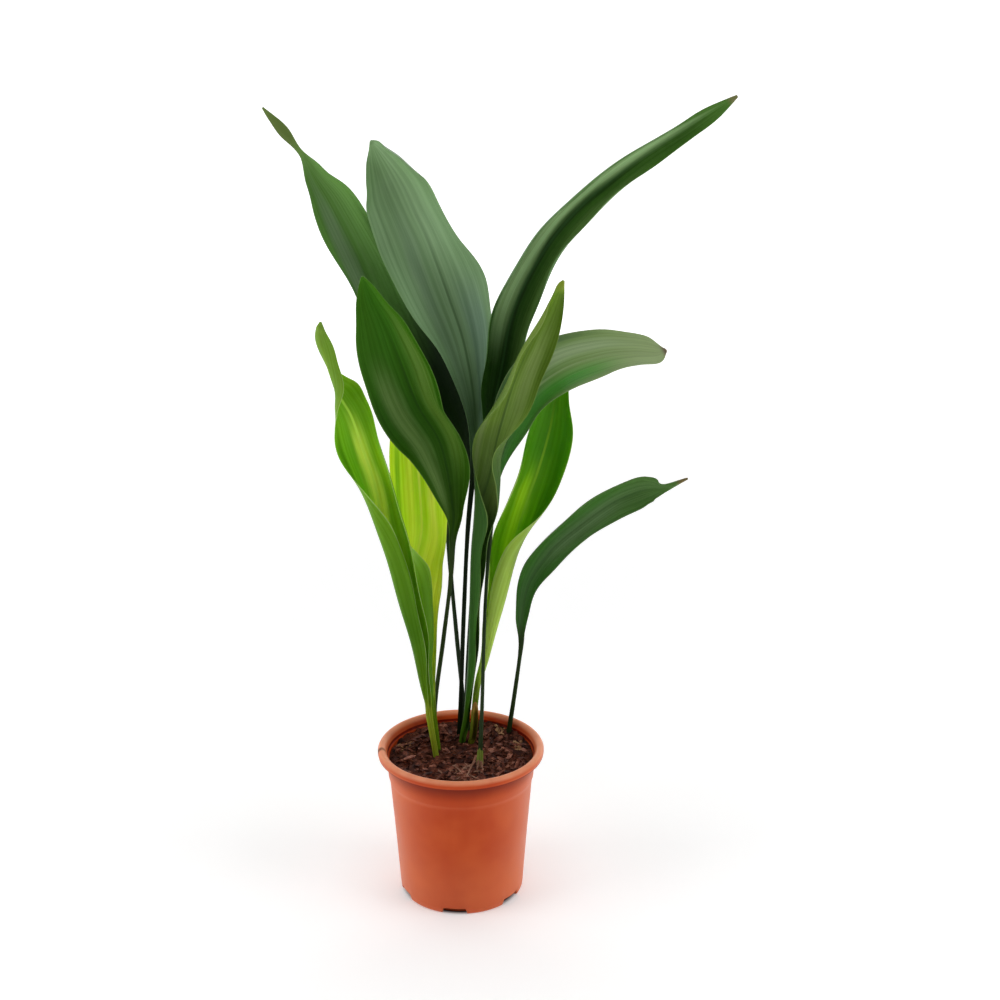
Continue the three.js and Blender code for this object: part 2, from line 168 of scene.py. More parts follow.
# The sweep glows a little, least round the plant and most far away from it.
SWEEP_GLOW_NEAR = 0.26
SWEEP_GLOW_FAR = 0.86
SWEEP_GLOW_START = 0.3
SWEEP_GLOW_END = 3.0
# Under the pot, inside this radius, the floor is painted dark as shadow and does not glow, so the
# feet's gaps look dark.
POT_COVER_RADIUS = 0.0515
POT_COVER_EDGE = 0.004
POT_SHADOW_COLOUR = (0.10, 0.05, 0.04)

bpy.ops.mesh.primitive_plane_add(size=1)
sweep = bpy.context.object
sweep.name = "studio_sweep"
sweep.scale = (SWEEP_WIDTH, SWEEP_BEND - SWEEP_FRONT, 1)
sweep.location = (0, (SWEEP_BEND + SWEEP_FRONT) / 2, 0)
bpy.ops.object.transform_apply()
enter("EDIT")
bpy.ops.mesh.select_mode(type="EDGE")
bpy.ops.mesh.select_all(action="DESELECT")
enter("OBJECT")
for edge in sweep.data.edges:
    edge.select = all(sweep.data.vertices[v].co.y > SWEEP_BEND - 0.001 for v in edge.vertices)
enter("EDIT")
length = SWEEP_RADIUS * math.pi / 2 / SWEEP_BEND_STEPS
for step in range(SWEEP_BEND_STEPS):
    turn = math.pi / 2 * (step + 0.5) / SWEEP_BEND_STEPS
    move = (0, length * math.cos(turn), length * math.sin(turn))
    bpy.ops.mesh.extrude_edges_move(TRANSFORM_OT_translate={"value": move})
bpy.ops.mesh.extrude_edges_move(TRANSFORM_OT_translate={"value": (0, 0, SWEEP_TOP)})
enter("OBJECT")
bpy.ops.object.shade_smooth()

sweep_paint, tree, shader = painted(
    "studio_sweep", SWEEP_COLOUR, 0.95, Specular_IOR_Level=0.0, Emission_Color=(1, 1, 1, 1)
)
from_middle = add(tree, "VectorMath", operation="LENGTH")
tree.links.new(object_point(tree), from_middle.inputs[0])
distance = from_middle.outputs["Value"]
covered_from = POT_COVER_RADIUS - POT_COVER_EDGE
cover = add(tree, "MapRange", From_Min=covered_from, From_Max=POT_COVER_RADIUS)
tree.links.new(distance, cover.inputs["Value"])
unshaded_floor = cover.outputs["Result"]
glow = between(tree, distance, SWEEP_GLOW_START, SWEEP_GLOW_END)
glow = number(tree, "MULTIPLY_ADD", glow, SWEEP_GLOW_FAR - SWEEP_GLOW_NEAR, SWEEP_GLOW_NEAR)
tree.links.new(times(tree, glow, unshaded_floor), shader.inputs["Emission Strength"])
# Painted shadow: the floor under the pot takes the dark colour.
colour = blended(tree, unshaded_floor, POT_SHADOW_COLOUR, SWEEP_COLOUR)
tree.links.new(colour, shader.inputs["Base Color"])
sweep.data.materials.append(sweep_paint)

PLANT_MIDDLE = (0, 0, 0.33)
SIDE_LIGHT_POWER = 12
TOP_LIGHT_POWER = 16
ROOM_GLOW = 0.12


def soft_light(name, place, width, height, power):
    """A flat rectangular light at a place, turned to the middle of the plant."""
    data = bpy.data.lights.new(name, "AREA")
    data.shape = "RECTANGLE"
    data.size = width
    data.size_y = height
    data.energy = power
    light = bpy.data.objects.new(name, data)
    light.location = place
    light.rotation_mode = "QUATERNION"
    light.rotation_quaternion = (Vector(PLANT_MIDDLE) - Vector(place)).to_track_quat("-Z", "Y")
    bpy.context.scene.collection.objects.link(light)


soft_light("light_left", (-1.5, -0.45, 0.8), 1.0, 1.6, SIDE_LIGHT_POWER)
soft_light("light_right", (1.5, -0.45, 0.8), 1.0, 1.6, SIDE_LIGHT_POWER)
soft_light("light_over", (0.0, -0.2, 2.2), 1.6, 1.6, TOP_LIGHT_POWER)

world = bpy.data.worlds.new("room")
bpy.context.scene.world = world
world.use_nodes = True
background = world.node_tree.nodes["Background"]
background.inputs["Color"].default_value = (1, 1, 1, 1)
background.inputs["Strength"].default_value = ROOM_GLOW


# ---------------------------------------------------------------- pot
# A round nursery pot, one thin moulding of terracotta-coloured plastic. The wall tapers to the foot,
# steps out a little under the lip and rolls over into it. Six notches round the foot let water out.

pot_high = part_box("pot")[1]
LIP_RADIUS = pot_high.x
POT_TOP = pot_high.z
POT_COLUMNS = 180
COLUMN_ANGLE = 2 * math.pi / POT_COLUMNS
NOTCHES = 6
NOTCH_FIRST = math.radians(-95.6)
NOTCH_HALF_ANGLE = math.radians(11)
NOTCH_HEIGHT = 0.0055
CUP_RADIUS = 0.0466
CUP_WALL = 0.0012
BASE_TOP = 0.0018

# Radius and height of every ring, from the middle of the base up the outside and down the inside.
OUTSIDE_RINGS = [
    (0.020, 0.0), (0.038, 0.0), (CUP_RADIUS - 0.0002, 0.0), (CUP_RADIUS, 0.0), (0.0500, 0.0),
    (0.0512, 0.0003), (0.0520, 0.0012), (0.0524, 0.0024), (0.0528, 0.0058), (0.0538, 0.020),
    (0.0560, 0.050), (0.0584, 0.080), (0.0601, 0.1010), (0.0604, 0.1028), (0.0609, 0.1044),
    (0.0614, 0.1060), (0.0619, 0.114), (0.0622, 0.122), (0.0630, 0.1262), (0.0642, 0.1283),
    (0.0658, 0.1292), (0.0673, 0.1290), (0.0684, 0.1280), (0.0688, 0.1266), (0.0689, 0.1254),
    (0.0692, 0.1250), (0.0697, 0.1252),
]
LIP_RINGS = [
    (LIP_RADIUS, 0.1270), (LIP_RADIUS, 0.1290), (LIP_RADIUS - 0.0006, 0.1303),
    (LIP_RADIUS - 0.0016, 0.1314), (LIP_RADIUS - 0.0030, POT_TOP), (LIP_RADIUS - 0.0043, 0.1317),
    (LIP_RADIUS - 0.0056, 0.1307), (LIP_RADIUS - 0.0067, 0.1292), (LIP_RADIUS - 0.0075, 0.1272),
]
INSIDE_RINGS = [
    (0.0620, 0.1247), (0.0618, 0.1238), (0.0611, 0.1232), (0.0609, 0.1220), (0.0607, 0.114),
    (0.0604, 0.1062), (0.0600, 0.1050), (0.0592, 0.1040), (0.0590, 0.1028), (0.0548, 0.050),
    (0.0517, 0.0070), (0.0513, 0.0034), (0.0509, 0.0024), (0.0500, BASE_TOP),
    (CUP_RADIUS - CUP_WALL, BASE_TOP), (CUP_RADIUS - CUP_WALL - 0.0002, BASE_TOP),
    (0.030, BASE_TOP),
]


def from_notch(point):
    """How far round a point is from the middle of the nearest notch."""
    pitch = 2 * math.pi / NOTCHES
    return abs((math.atan2(point.y, point.x) - NOTCH_FIRST + pitch / 2) % pitch - pitch / 2)


def next_ring(rise, growth):
    """Extrudes the selected ring of edges, lifts it and makes it wider or narrower."""
    bpy.ops.mesh.extrude_edges_move(TRANSFORM_OT_translate={"value": (0, 0, rise)})
    bpy.ops.transform.resize(value=(growth, growth, 1), center_override=(0, 0, 0))


def turn_outwards():
    """Turns every face of the mesh in edit mode outwards, and goes back into object mode."""
    bpy.ops.mesh.select_all(action="SELECT")
    bpy.ops.mesh.normals_make_consistent(inside=False)
    enter("OBJECT")


radius, height = OUTSIDE_RINGS[0]
bpy.ops.mesh.primitive_circle_add(vertices=POT_COLUMNS, radius=radius, fill_type="TRIFAN")
pot = bpy.context.object
pot.name = "nursery_pot"
enter("EDIT")
bpy.ops.mesh.select_mode(type="EDGE")
bpy.ops.mesh.select_all(action="SELECT")
bpy.ops.transform.rotate(value=-NOTCH_FIRST, orient_axis="Z", center_override=(0, 0, 0))
bpy.ops.mesh.select_all(action="DESELECT")
bpy.ops.mesh.select_non_manifold()
for next_radius, next_height in OUTSIDE_RINGS[1:] + LIP_RINGS + INSIDE_RINGS:
    next_ring(next_height - height, next_radius / radius)
    radius, height = next_radius, next_height
bpy.ops.mesh.edge_face_add()
turn_outwards()

# The notches: the foot rings rise between each pair of feet, and the base over them with the cup.
# These heights and reaches tell the foot's outside from the base plate above it.
UNDERSIDE_TOP = 0.0015
FOOT_TOP = 0.0030
FOOT_INNER_REACH = 0.0518
FOOT_REACH = 0.0526
BASE_EDGE_TOP = 0.0040
SLACK = 0.0001
ROOF_SLOPE = 0.05
for vertex in pot.data.vertices:
    place = vertex.co
    reach = math.hypot(place.x, place.y)
    outside = place.z < FOOT_TOP and CUP_RADIUS - SLACK < reach < FOOT_REACH
    underside = place.z < UNDERSIDE_TOP or reach > FOOT_INNER_REACH
    if outside and underside and from_notch(place) < NOTCH_HALF_ANGLE:
        place.z = NOTCH_HEIGHT + place.z * ROOF_SLOPE
    over_cup = UNDERSIDE_TOP < place.z < BASE_EDGE_TOP and reach > CUP_RADIUS - CUP_WALL - SLACK
    if over_cup and not underside and from_notch(place) < NOTCH_HALF_ANGLE + 1.2 * COLUMN_ANGLE:
        place.z = NOTCH_HEIGHT + CUP_WALL + (place.z - BASE_TOP) * ROOF_SLOPE

# Points of the inner face are marked, for the dirt that the compost leaves there and for the painted
# shade seen through the notches.
WALL_FOOT = (0.0524, 0.0024)
WALL_TOP = (0.0622, 0.1220)
INNER_DEPTH = 0.0009
wall_slope = (WALL_TOP[0] - WALL_FOOT[0]) / (WALL_TOP[1] - WALL_FOOT[1])
inner = pot.data.attributes.new("inner", "FLOAT", "POINT")
for vertex in pot.data.vertices:
    outer_reach = WALL_FOOT[0] + wall_slope * (vertex.co.z - WALL_FOOT[1])
    within = math.hypot(vertex.co.x, vertex.co.y) < outer_reach - INNER_DEPTH
    inner.data[vertex.index].value = float(within and vertex.co.z > UNDERSIDE_TOP)

bpy.ops.object.shade_smooth_by_angle(angle=math.radians(40))


def grain(tree, vector, scale, detail=3.0, roughness=0.55, stretch=(1, 1, 1)):
    """Noise over a coordinate, optionally stretched. Gives its 0 to 1 value."""
    mapping = add(tree, "Mapping", Scale=stretch)
    tree.links.new(vector, mapping.inputs["Vector"])
    texture = add(tree, "TexNoise", Scale=scale, Detail=detail, Roughness=roughness)
    tree.links.new(mapping.outputs[0], texture.inputs["Vector"])
    return texture.outputs["Fac"]


def relief(tree, shader, height, distance):
    """Fine bumps that follow a socket, as deep as a distance in metres."""
    bump = add(tree, "Bump", Distance=distance)
    tree.links.new(height, bump.inputs["Height"])
    tree.links.new(bump.outputs[0], shader.inputs["Normal"])


POT_COLOUR = srgb(194, 72, 22)
POT_SUNNY = srgb(200, 82, 32)
POT_DEEP = srgb(184, 62, 16)
POT_SHADE = srgb(106, 18, 0)
POT_WORN_HIGHLIGHT = srgb(240, 162, 122)
POT_PAINTED_LIGHT = srgb(224, 126, 84)
DIRT_AND_SHADE = srgb(74, 44, 32)
DIRT_MARK = (-0.0665, -0.0090, 0.1290)

pot_paint, tree, shader = painted(
    "terracotta_plastic", POT_COLOUR, 0.42, Specular_IOR_Level=0.15,
    Subsurface_Weight=0.08, Subsurface_Radius=(1.0, 0.4, 0.2), Subsurface_Scale=0.004,
)
where = object_point(tree)
parts = add(tree, "SeparateXYZ")
tree.links.new(where, parts.inputs[0])
height = parts.outputs[2]
clouds = between(tree, grain(tree, where, 26, 2), 0.35, 0.7)
draw_lines = grain(tree, where, 300, 2, 0.6, (1, 1, 0.03))
colour = blended(tree, clouds, POT_DEEP, POT_SUNNY)
colour = blended(tree, times(tree, draw_lines, 0.5), colour, POT_COLOUR)
inside = add(tree, "Attribute", attribute_name="inner").outputs["Fac"]
outer = number(tree, "SUBTRACT", 1.0, inside)
# Painted sheen: the outside turns lighter where the wall turns away from the view, towards its sides.
facing = add(tree, "LayerWeight", Blend=0.5).outputs["Facing"]
flank_sheen = times(tree, between(tree, facing, 0.12, 0.76), 0.56)
colour = blended(tree, times(tree, flank_sheen, outer), colour, POT_PAINTED_LIGHT)
# Painted light: the outside is lighter towards the foot, as light thrown up from the floor.
floor_light = times(tree, between(tree, height, 0.075, 0.010), 0.30)
colour = blended(tree, times(tree, floor_light, outer), colour, POT_PAINTED_LIGHT)
# Painted shade darkens the collar under the lip, where the lip shades it, and the lip's top is painted
# pale, partly as rubbed plastic and partly as painted highlight.
collar = times(tree, between(tree, height, 0.108, 0.1235), 0.85)
under_lip = times(tree, between(tree, height, 0.1205, 0.1245), 0.35)
lip_shade = times(tree, number(tree, "ADD", collar, under_lip), outer)
lip_shade = times(tree, lip_shade, between(tree, height, 0.1262, 0.1250))
colour = blended(tree, lip_shade, colour, POT_SHADE)
# The lip's top: rubbed pale plastic, and painted highlight where it is lit.
rubbed_and_highlight = number(tree, "MULTIPLY_ADD", grain(tree, where, 90, 3), 0.5, 0.45)
rubbed_and_highlight = times(tree, rubbed_and_highlight, between(tree, height, 0.1278, 0.1312))
colour = blended(tree, rubbed_and_highlight, colour, POT_WORN_HIGHLIGHT)
specks = between(tree, grain(tree, where, 900, 2, 0.7), 0.66, 0.74)
dusty = between(tree, grain(tree, where, 60, 4, 0.65), 0.55, 0.72)
dirt_and_shade = times(tree, times(tree, dusty, 0.65), inside)
dirt_and_shade = times(tree, dirt_and_shade, between(tree, height, 0.1235, 0.1150))
foot_dust = times(tree, between(tree, height, 0.014, 0.0), 0.25)
dirt_and_shade = number(tree, "MAXIMUM", dirt_and_shade, times(tree, foot_dust, dusty))
dirt_and_shade = number(tree, "MAXIMUM", dirt_and_shade, times(tree, specks, 0.10))
mark = add(tree, "VectorMath", operation="DISTANCE")
mark.inputs[1].default_value = DIRT_MARK
tree.links.new(where, mark.inputs[0])
dirt_and_shade = number(tree, "MAXIMUM", dirt_and_shade, between(tree, mark.outputs["Value"], 0.0050, 0.0018))
# Painted shade: the low inner faces, seen through the notches, are darkened with the dirt colour.
notch_shade = times(tree, between(tree, height, 0.0090, 0.0055), inside)
dirt_and_shade = number(tree, "MAXIMUM", dirt_and_shade, times(tree, notch_shade, 0.9))
tree.links.new(blended(tree, dirt_and_shade, colour, DIRT_AND_SHADE), shader.inputs["Base Color"])
dull = number(tree, "MULTIPLY_ADD", clouds, 0.10, 0.34)
tree.links.new(number(tree, "MULTIPLY_ADD", dirt_and_shade, 0.35, dull), shader.inputs["Roughness"])
fine = number(tree, "MULTIPLY_ADD", draw_lines, 0.6, grain(tree, where, 700, 3))
relief(tree, shader, fine, 0.00006)
pot.data.materials.append(pot_paint)
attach(pot, "root")
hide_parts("pot")


# ---------------------------------------------------------------- soil
# The root ball: dark, moist bark compost that fills the pot to a finger's breadth under the lip.
# Its top is uneven, heaped at the back and the right, and crumbs, bark flakes and fibres lie on it.

soil_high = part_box("soil")[1]
SOIL_LEVEL = soil_high.z - 0.0022
SOIL_RADIUS = soil_high.x
SOIL_RINGS = 92
SOIL_COLUMNS = 300
BANK_HEIGHT = 0.0062
BANK_SIDE = 0.45
# Radius and height of the rings down the side. The lumps of the top end at the last one, made flat.
SOIL_SIDE = [(0.0601, 0.1056), (0.0587, 0.1030), (0.0510, 0.0120), (0.0445, 0.0105), (0.0440, 0.0022)]
SOIL_FOOT = SOIL_SIDE[-1][1]
SOIL_FOOT_REACH = 0.046
FOOT_BAND = 0.004


def soil_height(x, y):
    """Height of the soil's top at a place: heaped at the back and the right, lumpy and gritty."""
    reach = math.hypot(x, y)
    bank_side = (x * BANK_SIDE + y) / max(reach, 1e-6)
    banked = BANK_HEIGHT * (reach / SOIL_RADIUS) ** 2 * (0.55 + 0.45 * bank_side)
    mounds = 0.0020 * noise.noise(Vector((x * 45, y * 45, 3.1)))
    lumps = 0.0021 * noise.fractal(Vector((x * 170, y * 170, 7.7)), 0.9, 2.1, 4)
    ridges = 0.0016 * abs(noise.noise(Vector((x * 380, y * 380, 1.3))))
    grit = 0.0005 * noise.noise(Vector((x * 1300, y * 1300, 9.2)))
    return SOIL_LEVEL + banked + mounds + lumps + ridges + grit


first_radius = SOIL_RADIUS / SOIL_RINGS
bpy.ops.mesh.primitive_circle_add(vertices=SOIL_COLUMNS, radius=first_radius, fill_type="TRIFAN")
soil = bpy.context.object
soil.name = "bark_compost"
enter("EDIT")
bpy.ops.mesh.select_mode(type="EDGE")
bpy.ops.mesh.select_all(action="DESELECT")
bpy.ops.mesh.select_non_manifold()
for ring in range(1, SOIL_RINGS):
    next_ring(0, (ring + 1) / ring)
enter("OBJECT")
for vertex in soil.data.vertices:
    vertex.co.z = soil_height(vertex.co.x, vertex.co.y)
enter("EDIT")
radius, height = SOIL_RADIUS, SOIL_LEVEL
for next_radius, next_height in SOIL_SIDE:
    next_ring(next_height - height, next_radius / radius)
    radius, height = next_radius, next_height
enter("OBJECT")
for vertex in soil.data.vertices:
    near_foot = abs(vertex.co.z - SOIL_FOOT) < FOOT_BAND
    if near_foot and math.hypot(vertex.co.x, vertex.co.y) < SOIL_FOOT_REACH:
        vertex.co.z = SOIL_FOOT
enter("EDIT")
bpy.ops.mesh.edge_face_add()
turn_outwards()
bpy.ops.object.shade_smooth()

soil_paint, tree, shader = painted("moist_compost", srgb(46, 26, 21), 0.9, Specular_IOR_Level=0.12)
where = object_point(tree)
clods = between(tree, grain(tree, where, 160, 5, 0.65), 0.32, 0.68)
colour = blended(tree, clods, srgb(26, 10, 7), srgb(98, 50, 36))
crumbs = between(tree, grain(tree, where, 700, 3, 0.7), 0.56, 0.70)
colour = blended(tree, times(tree, crumbs, 0.40), colour, srgb(108, 68, 54))
tree.links.new(colour, shader.inputs["Base Color"])
height = number(tree, "ADD", grain(tree, where, 420, 6, 0.7), grain(tree, where, 1400, 3, 0.7))
relief(tree, shader, height, 0.0007)
soil.data.materials.append(soil_paint)
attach(soil, "root")
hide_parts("soil")

# Stalks that come through the soil: centre and radius of the ground each one takes up.
STALKS = [
    (-0.021, 0.004, 0.0035), (-0.020, 0.016, 0.0035), (-0.023, 0.039, 0.0030),
    (-0.002, 0.050, 0.0030), (-0.003, 0.041, 0.0030), (0.006, 0.045, 0.0030),
    (0.000, 0.030, 0.0045), (0.016, -0.012, 0.0055), (0.009, 0.037, 0.0035), (0.040, 0.040, 0.0030),
    (0.008, 0.026, 0.0035),
]

# Length, width and thickness of the strewn bits, least and most.
FLAKE_SIZES = ((0.0050, 0.0135), (0.0018, 0.0048), (0.0008, 0.0022))
CRUMB_SIZES = ((0.0014, 0.0036), (0.0011, 0.0028), (0.0009, 0.0022))
FIBRE_SIZES = ((0.0080, 0.0180), (0.0007, 0.0015), (0.0004, 0.0007))
STREWN_REACH = 0.0592


def clear_of_stalks(x, y, size):
    return all(math.hypot(x - sx, y - sy) > radius + size for sx, sy, radius in STALKS)


def bark_flake(draw):
    """One flat, broken flake of bark, from a cube: cut thin, tapered and knocked out of square."""
    bpy.ops.mesh.primitive_cube_add(size=1)
    flake = bpy.context.object
    enter("EDIT")
    bpy.ops.mesh.select_all(action="SELECT")
    bpy.ops.mesh.subdivide(number_cuts=1)
    enter("OBJECT")
    for vertex in flake.data.vertices:
        for axis in range(3):
            vertex.co[axis] += draw.uniform(-0.12, 0.12)
        if abs(vertex.co.x) > 0.3:
            vertex.co.y *= draw.uniform(0.55, 0.95)
            vertex.co.z *= 0.7
    return flake


def joined(pieces, name):
    """Joins pieces into one and names it."""
    bpy.ops.object.select_all(action="DESELECT")
    for piece in pieces:
        piece.select_set(True)
    bpy.context.view_layer.objects.active = pieces[0]
    bpy.ops.object.join()
    whole = bpy.context.object
    whole.name = name
    return whole


def scattered(name, pattern, draw, count, sizes, spread, lift, paint, middle):
    """Copies of a pattern strewn on the soil round a middle and joined into one piece."""
    copies = []
    tries = 0
    while len(copies) < count and tries < 40 * count:
        tries += 1
        angle = draw.uniform(0, 2 * math.pi)
        out = spread * math.sqrt(draw.random())
        x, y = middle[0] + out * math.cos(angle), middle[1] + out * math.sin(angle)
        scale = [draw.uniform(least, most) for least, most in sizes]
        past_wall = math.hypot(x, y) + 0.4 * max(scale) > STREWN_REACH
        if past_wall or not clear_of_stalks(x, y, 0.45 * max(scale)):
            continue
        copy = pattern.copy()
        copy.data = pattern.data.copy()
        bpy.context.scene.collection.objects.link(copy)
        turn = Matrix.Rotation(draw.uniform(0, 2 * math.pi), 4, "Z")
        tilt = Matrix.Rotation(draw.gauss(0, 0.45), 4, "X")
        tilt = tilt @ Matrix.Rotation(draw.gauss(0, 0.28), 4, "Y")
        place = Vector((x, y, soil_height(x, y) + lift * min(scale)))
        shape = Matrix.Diagonal((*scale, 1))
        copy.data.transform(Matrix.Translation(place) @ turn @ tilt @ shape)
        copies.append(copy)
    piece = joined(copies, name)
    piece.data.materials.append(paint)
    bpy.ops.object.shade_smooth_by_angle(angle=math.radians(35))
    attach(piece, "root")


def crumbly(name, dark, light, rough):
    """Bark or crumb paint: broad patches that tell one flake from the next, and fine grain."""
    paint, tree, shader = painted(name, dark, rough, Specular_IOR_Level=0.14)
    where = object_point(tree)
    patch = between(tree, grain(tree, where, 110, 1), 0.36, 0.64)
    fine = between(tree, grain(tree, where, 900, 4, 0.7), 0.3, 0.75)
    colour = blended(tree, times(tree, patch, fine), dark, light)
    tree.links.new(colour, shader.inputs["Base Color"])
    relief(tree, shader, grain(tree, where, 1500, 4, 0.7), 0.0003)
    return paint


dark_bark = crumbly("dark_bark", srgb(50, 18, 10), srgb(138, 74, 50), 0.6)
pale_bark = crumbly("pale_bark", srgb(92, 44, 30), srgb(194, 130, 106), 0.6)
crumb_paint = crumbly("crumbs", srgb(56, 25, 16), srgb(144, 86, 60), 0.8)
tan_paint = crumbly("tan_crumbs", srgb(140, 98, 66), srgb(196, 158, 118), 0.85)
fibre_paint = crumbly("dry_fibre", srgb(128, 88, 70), srgb(190, 148, 126), 0.7)
# Each kind of bit: how many, their sizes, how far they are spread, how high they lie for their
# thickness, their paint and the middle of their patch.
STREWN = [
    ("dark_bark_flakes", 330, FLAKE_SIZES, 0.0565, 0.30, dark_bark, (0, 0)),
    ("pale_bark_flakes", 120, FLAKE_SIZES, 0.0560, 0.45, pale_bark, (0, 0)),
    ("soil_crumbs", 380, CRUMB_SIZES, 0.0575, 0.35, crumb_paint, (0, 0)),
    ("tan_crumbs_1", 16, CRUMB_SIZES, 0.0085, 0.6, tan_paint, (0.051, 0.014)),
    ("tan_crumbs_2", 16, CRUMB_SIZES, 0.0085, 0.6, tan_paint, (0.036, 0.046)),
    ("tan_crumbs_3", 16, CRUMB_SIZES, 0.0085, 0.6, tan_paint, (-0.050, 0.020)),
    ("dry_fibres", 26, FIBRE_SIZES, 0.020, 1.2, fibre_paint, (0.006, -0.032)),
]
draw = random.Random(11)
flake = bark_flake(draw)
for strewn_name, *how in STREWN:
    scattered(strewn_name, flake, draw, *how)
bpy.data.objects.remove(flake)


# ---------------------------------------------------------------- rhizome
# The creeping stem under the soil that every leaf grows from. It is woody and pale brown, ringed with
# the scars of old leaves, and the soil hides it.

rhizome_paint, tree, shader = painted("rhizome_bark", srgb(138, 111, 78), 0.8)
where = object_point(tree)
scars = add(tree, "TexWave", Scale=180.0, Distortion=4.0, Detail=3.0)
tree.links.new(where, scars.inputs["Vector"])
scarred = times(tree, scars.outputs["Fac"], grain(tree, where, 240, 4))
colour = blended(tree, scarred, srgb(112, 84, 54), srgb(176, 150, 112))
tree.links.new(colour, shader.inputs["Base Color"])
relief(tree, shader, scars.outputs["Fac"], 0.0004)
rhizome = frame["nodes"]["rhizome"]
rhizome.data.materials.clear()
rhizome.data.materials.append(rhizome_paint)


# ---------------------------------------------------------------- leaves
# Each leaf is one thin blade that narrows into its own stalk. It is given by stations from the
# rhizome to the tip: x, y, z, half width, turn, left roll and right roll, in mm and degrees. The
# half width runs along the curved section, the turn swings the upper face to the right, and a roll
# is the angle through which that half curls up. Young leaves are still rolled round at the base.

MM = 0.001
BLADE_HALF = 0.00022
KEEL = 0.00055
KEEL_WIDTH = 0.0016
GROOVE = 0.00025
PLEAT = 0.00005
PLEATS_EACH_SIDE = 7.5
EDGE_WAVE = 0.0011
EDGE_WAVE_PITCH = 88
LEAST_HALF_WIDTH = 0.35
ACROSS = 44
STEPS = 9
STALK_SHEEN = 0.06
# Each kind of leaf takes its streaks from another layer of the same noise, by its name's length.
SKIN_STEP = 0.37
BAND_FADE = 0.12
VEIN_PITCH = 54.0
VEIN_WANDER = 14.0
FULL_RELIEF_WIDTH = 0.016
LIGHT_REACH = 0.0016


def station_at(rows, t):
    """The curve through the stations, one unit of t from each to the next."""
    last = len(rows) - 1
    i = min(int(t), last - 1)
    u = t - i
    before, here, ahead, after = rows[max(i - 1, 0)], rows[i], rows[i + 1], rows[min(i + 2, last)]
    values = []
    for p0, p1, p2, p3 in zip(before, here, ahead, after):
        slope_in = (p2 - p0) / 2 if i > 0 else p2 - p1
        slope_out = (p3 - p1) / 2 if i + 2 <= last else p2 - p1
        u2, u3 = u * u, u * u * u
        start = (2 * u3 - 3 * u2 + 1) * p1 + (u3 - 2 * u2 + u) * slope_in
        values.append(start + (3 * u2 - 2 * u3) * p2 + (u3 - u2) * slope_out)
    return values


def smooth(value, low, high):
    share = min(max((value - low) / (high - low), 0.0), 1.0)
    return share * share * (3 - 2 * share)


def leaf_rings(rows):
    """Place, directions and section of every ring along a leaf."""
    count = (len(rows) - 1) * STEPS
    samples = [station_at(rows, k / STEPS) for k in range(count + 1)]
    places = [Vector(sample[:3]) * MM for sample in samples]
    face = Vector((0, -1, 0))
    rings = []
    grown = 0.0
    for k, sample in enumerate(samples):
        along = (places[min(k + 1, count)] - places[max(k - 1, 0)]).normalized()
        face = (face - along * face.dot(along)).normalized()
        turned_face = Matrix.Rotation(math.radians(sample[4]), 3, along) @ face
        if k:
            grown += (places[k] - places[k - 1]).length
        rings.append((places[k], along, turned_face, grown, sample))
    return rings


def leaf_point(ring, side, upper, stalk, ripple):
    """One point of a leaf's surface. side runs from -1 at the left margin to 1 at the right."""
    place, along, face, grown, sample = ring
    width_mm, _, roll_left, roll_right = sample[3:]
    half_width = max(width_mm, LEAST_HALF_WIDTH) * MM
    roll = max(math.radians(roll_left if side < 0 else roll_right), 0.01)
    radius = half_width / roll
    angle = roll * side
    flat = smooth(half_width, 1.1 * stalk, 2.5 * stalk)
    solid = min(half_width, stalk) * math.sqrt(1 - 0.97 * side * side)
    thin = min(BLADE_HALF, 0.00012 + 0.05 * half_width) * (1 - 0.45 * side**4)
    half = solid + (thin - solid) * flat
    from_midrib = side * half_width
    near = math.exp(-((from_midrib / KEEL_WIDTH) ** 2)) * flat * min(1.0, half_width / 0.012)
    tightest = half_width / math.radians(max(roll_left, roll_right, 1))
    if upper:
        offset = min(half, 0.7 * tightest) - GROOVE * near
    else:
        offset = -(half + KEEL * near)
    pleats = PLEAT * math.cos(side * PLEATS_EACH_SIDE * 2 * math.pi) * flat * (1 - side * side)
    # The margins wave out of step with each other, and each leaf by the thickness of its stalk.
    wave = math.sin(grown * EDGE_WAVE_PITCH + 2.2 * side + stalk * 9e3)
    edge_wave = EDGE_WAVE * ripple * side**2 * abs(side) * wave
    offset += pleats * min(1, half_width / 0.01) + edge_wave * flat * min(1, half_width / 0.015)
    across = along.cross(face)
    sideways = (radius - offset) * math.sin(angle)
    return place + across * sideways + face * (radius - (radius - offset) * math.cos(angle))


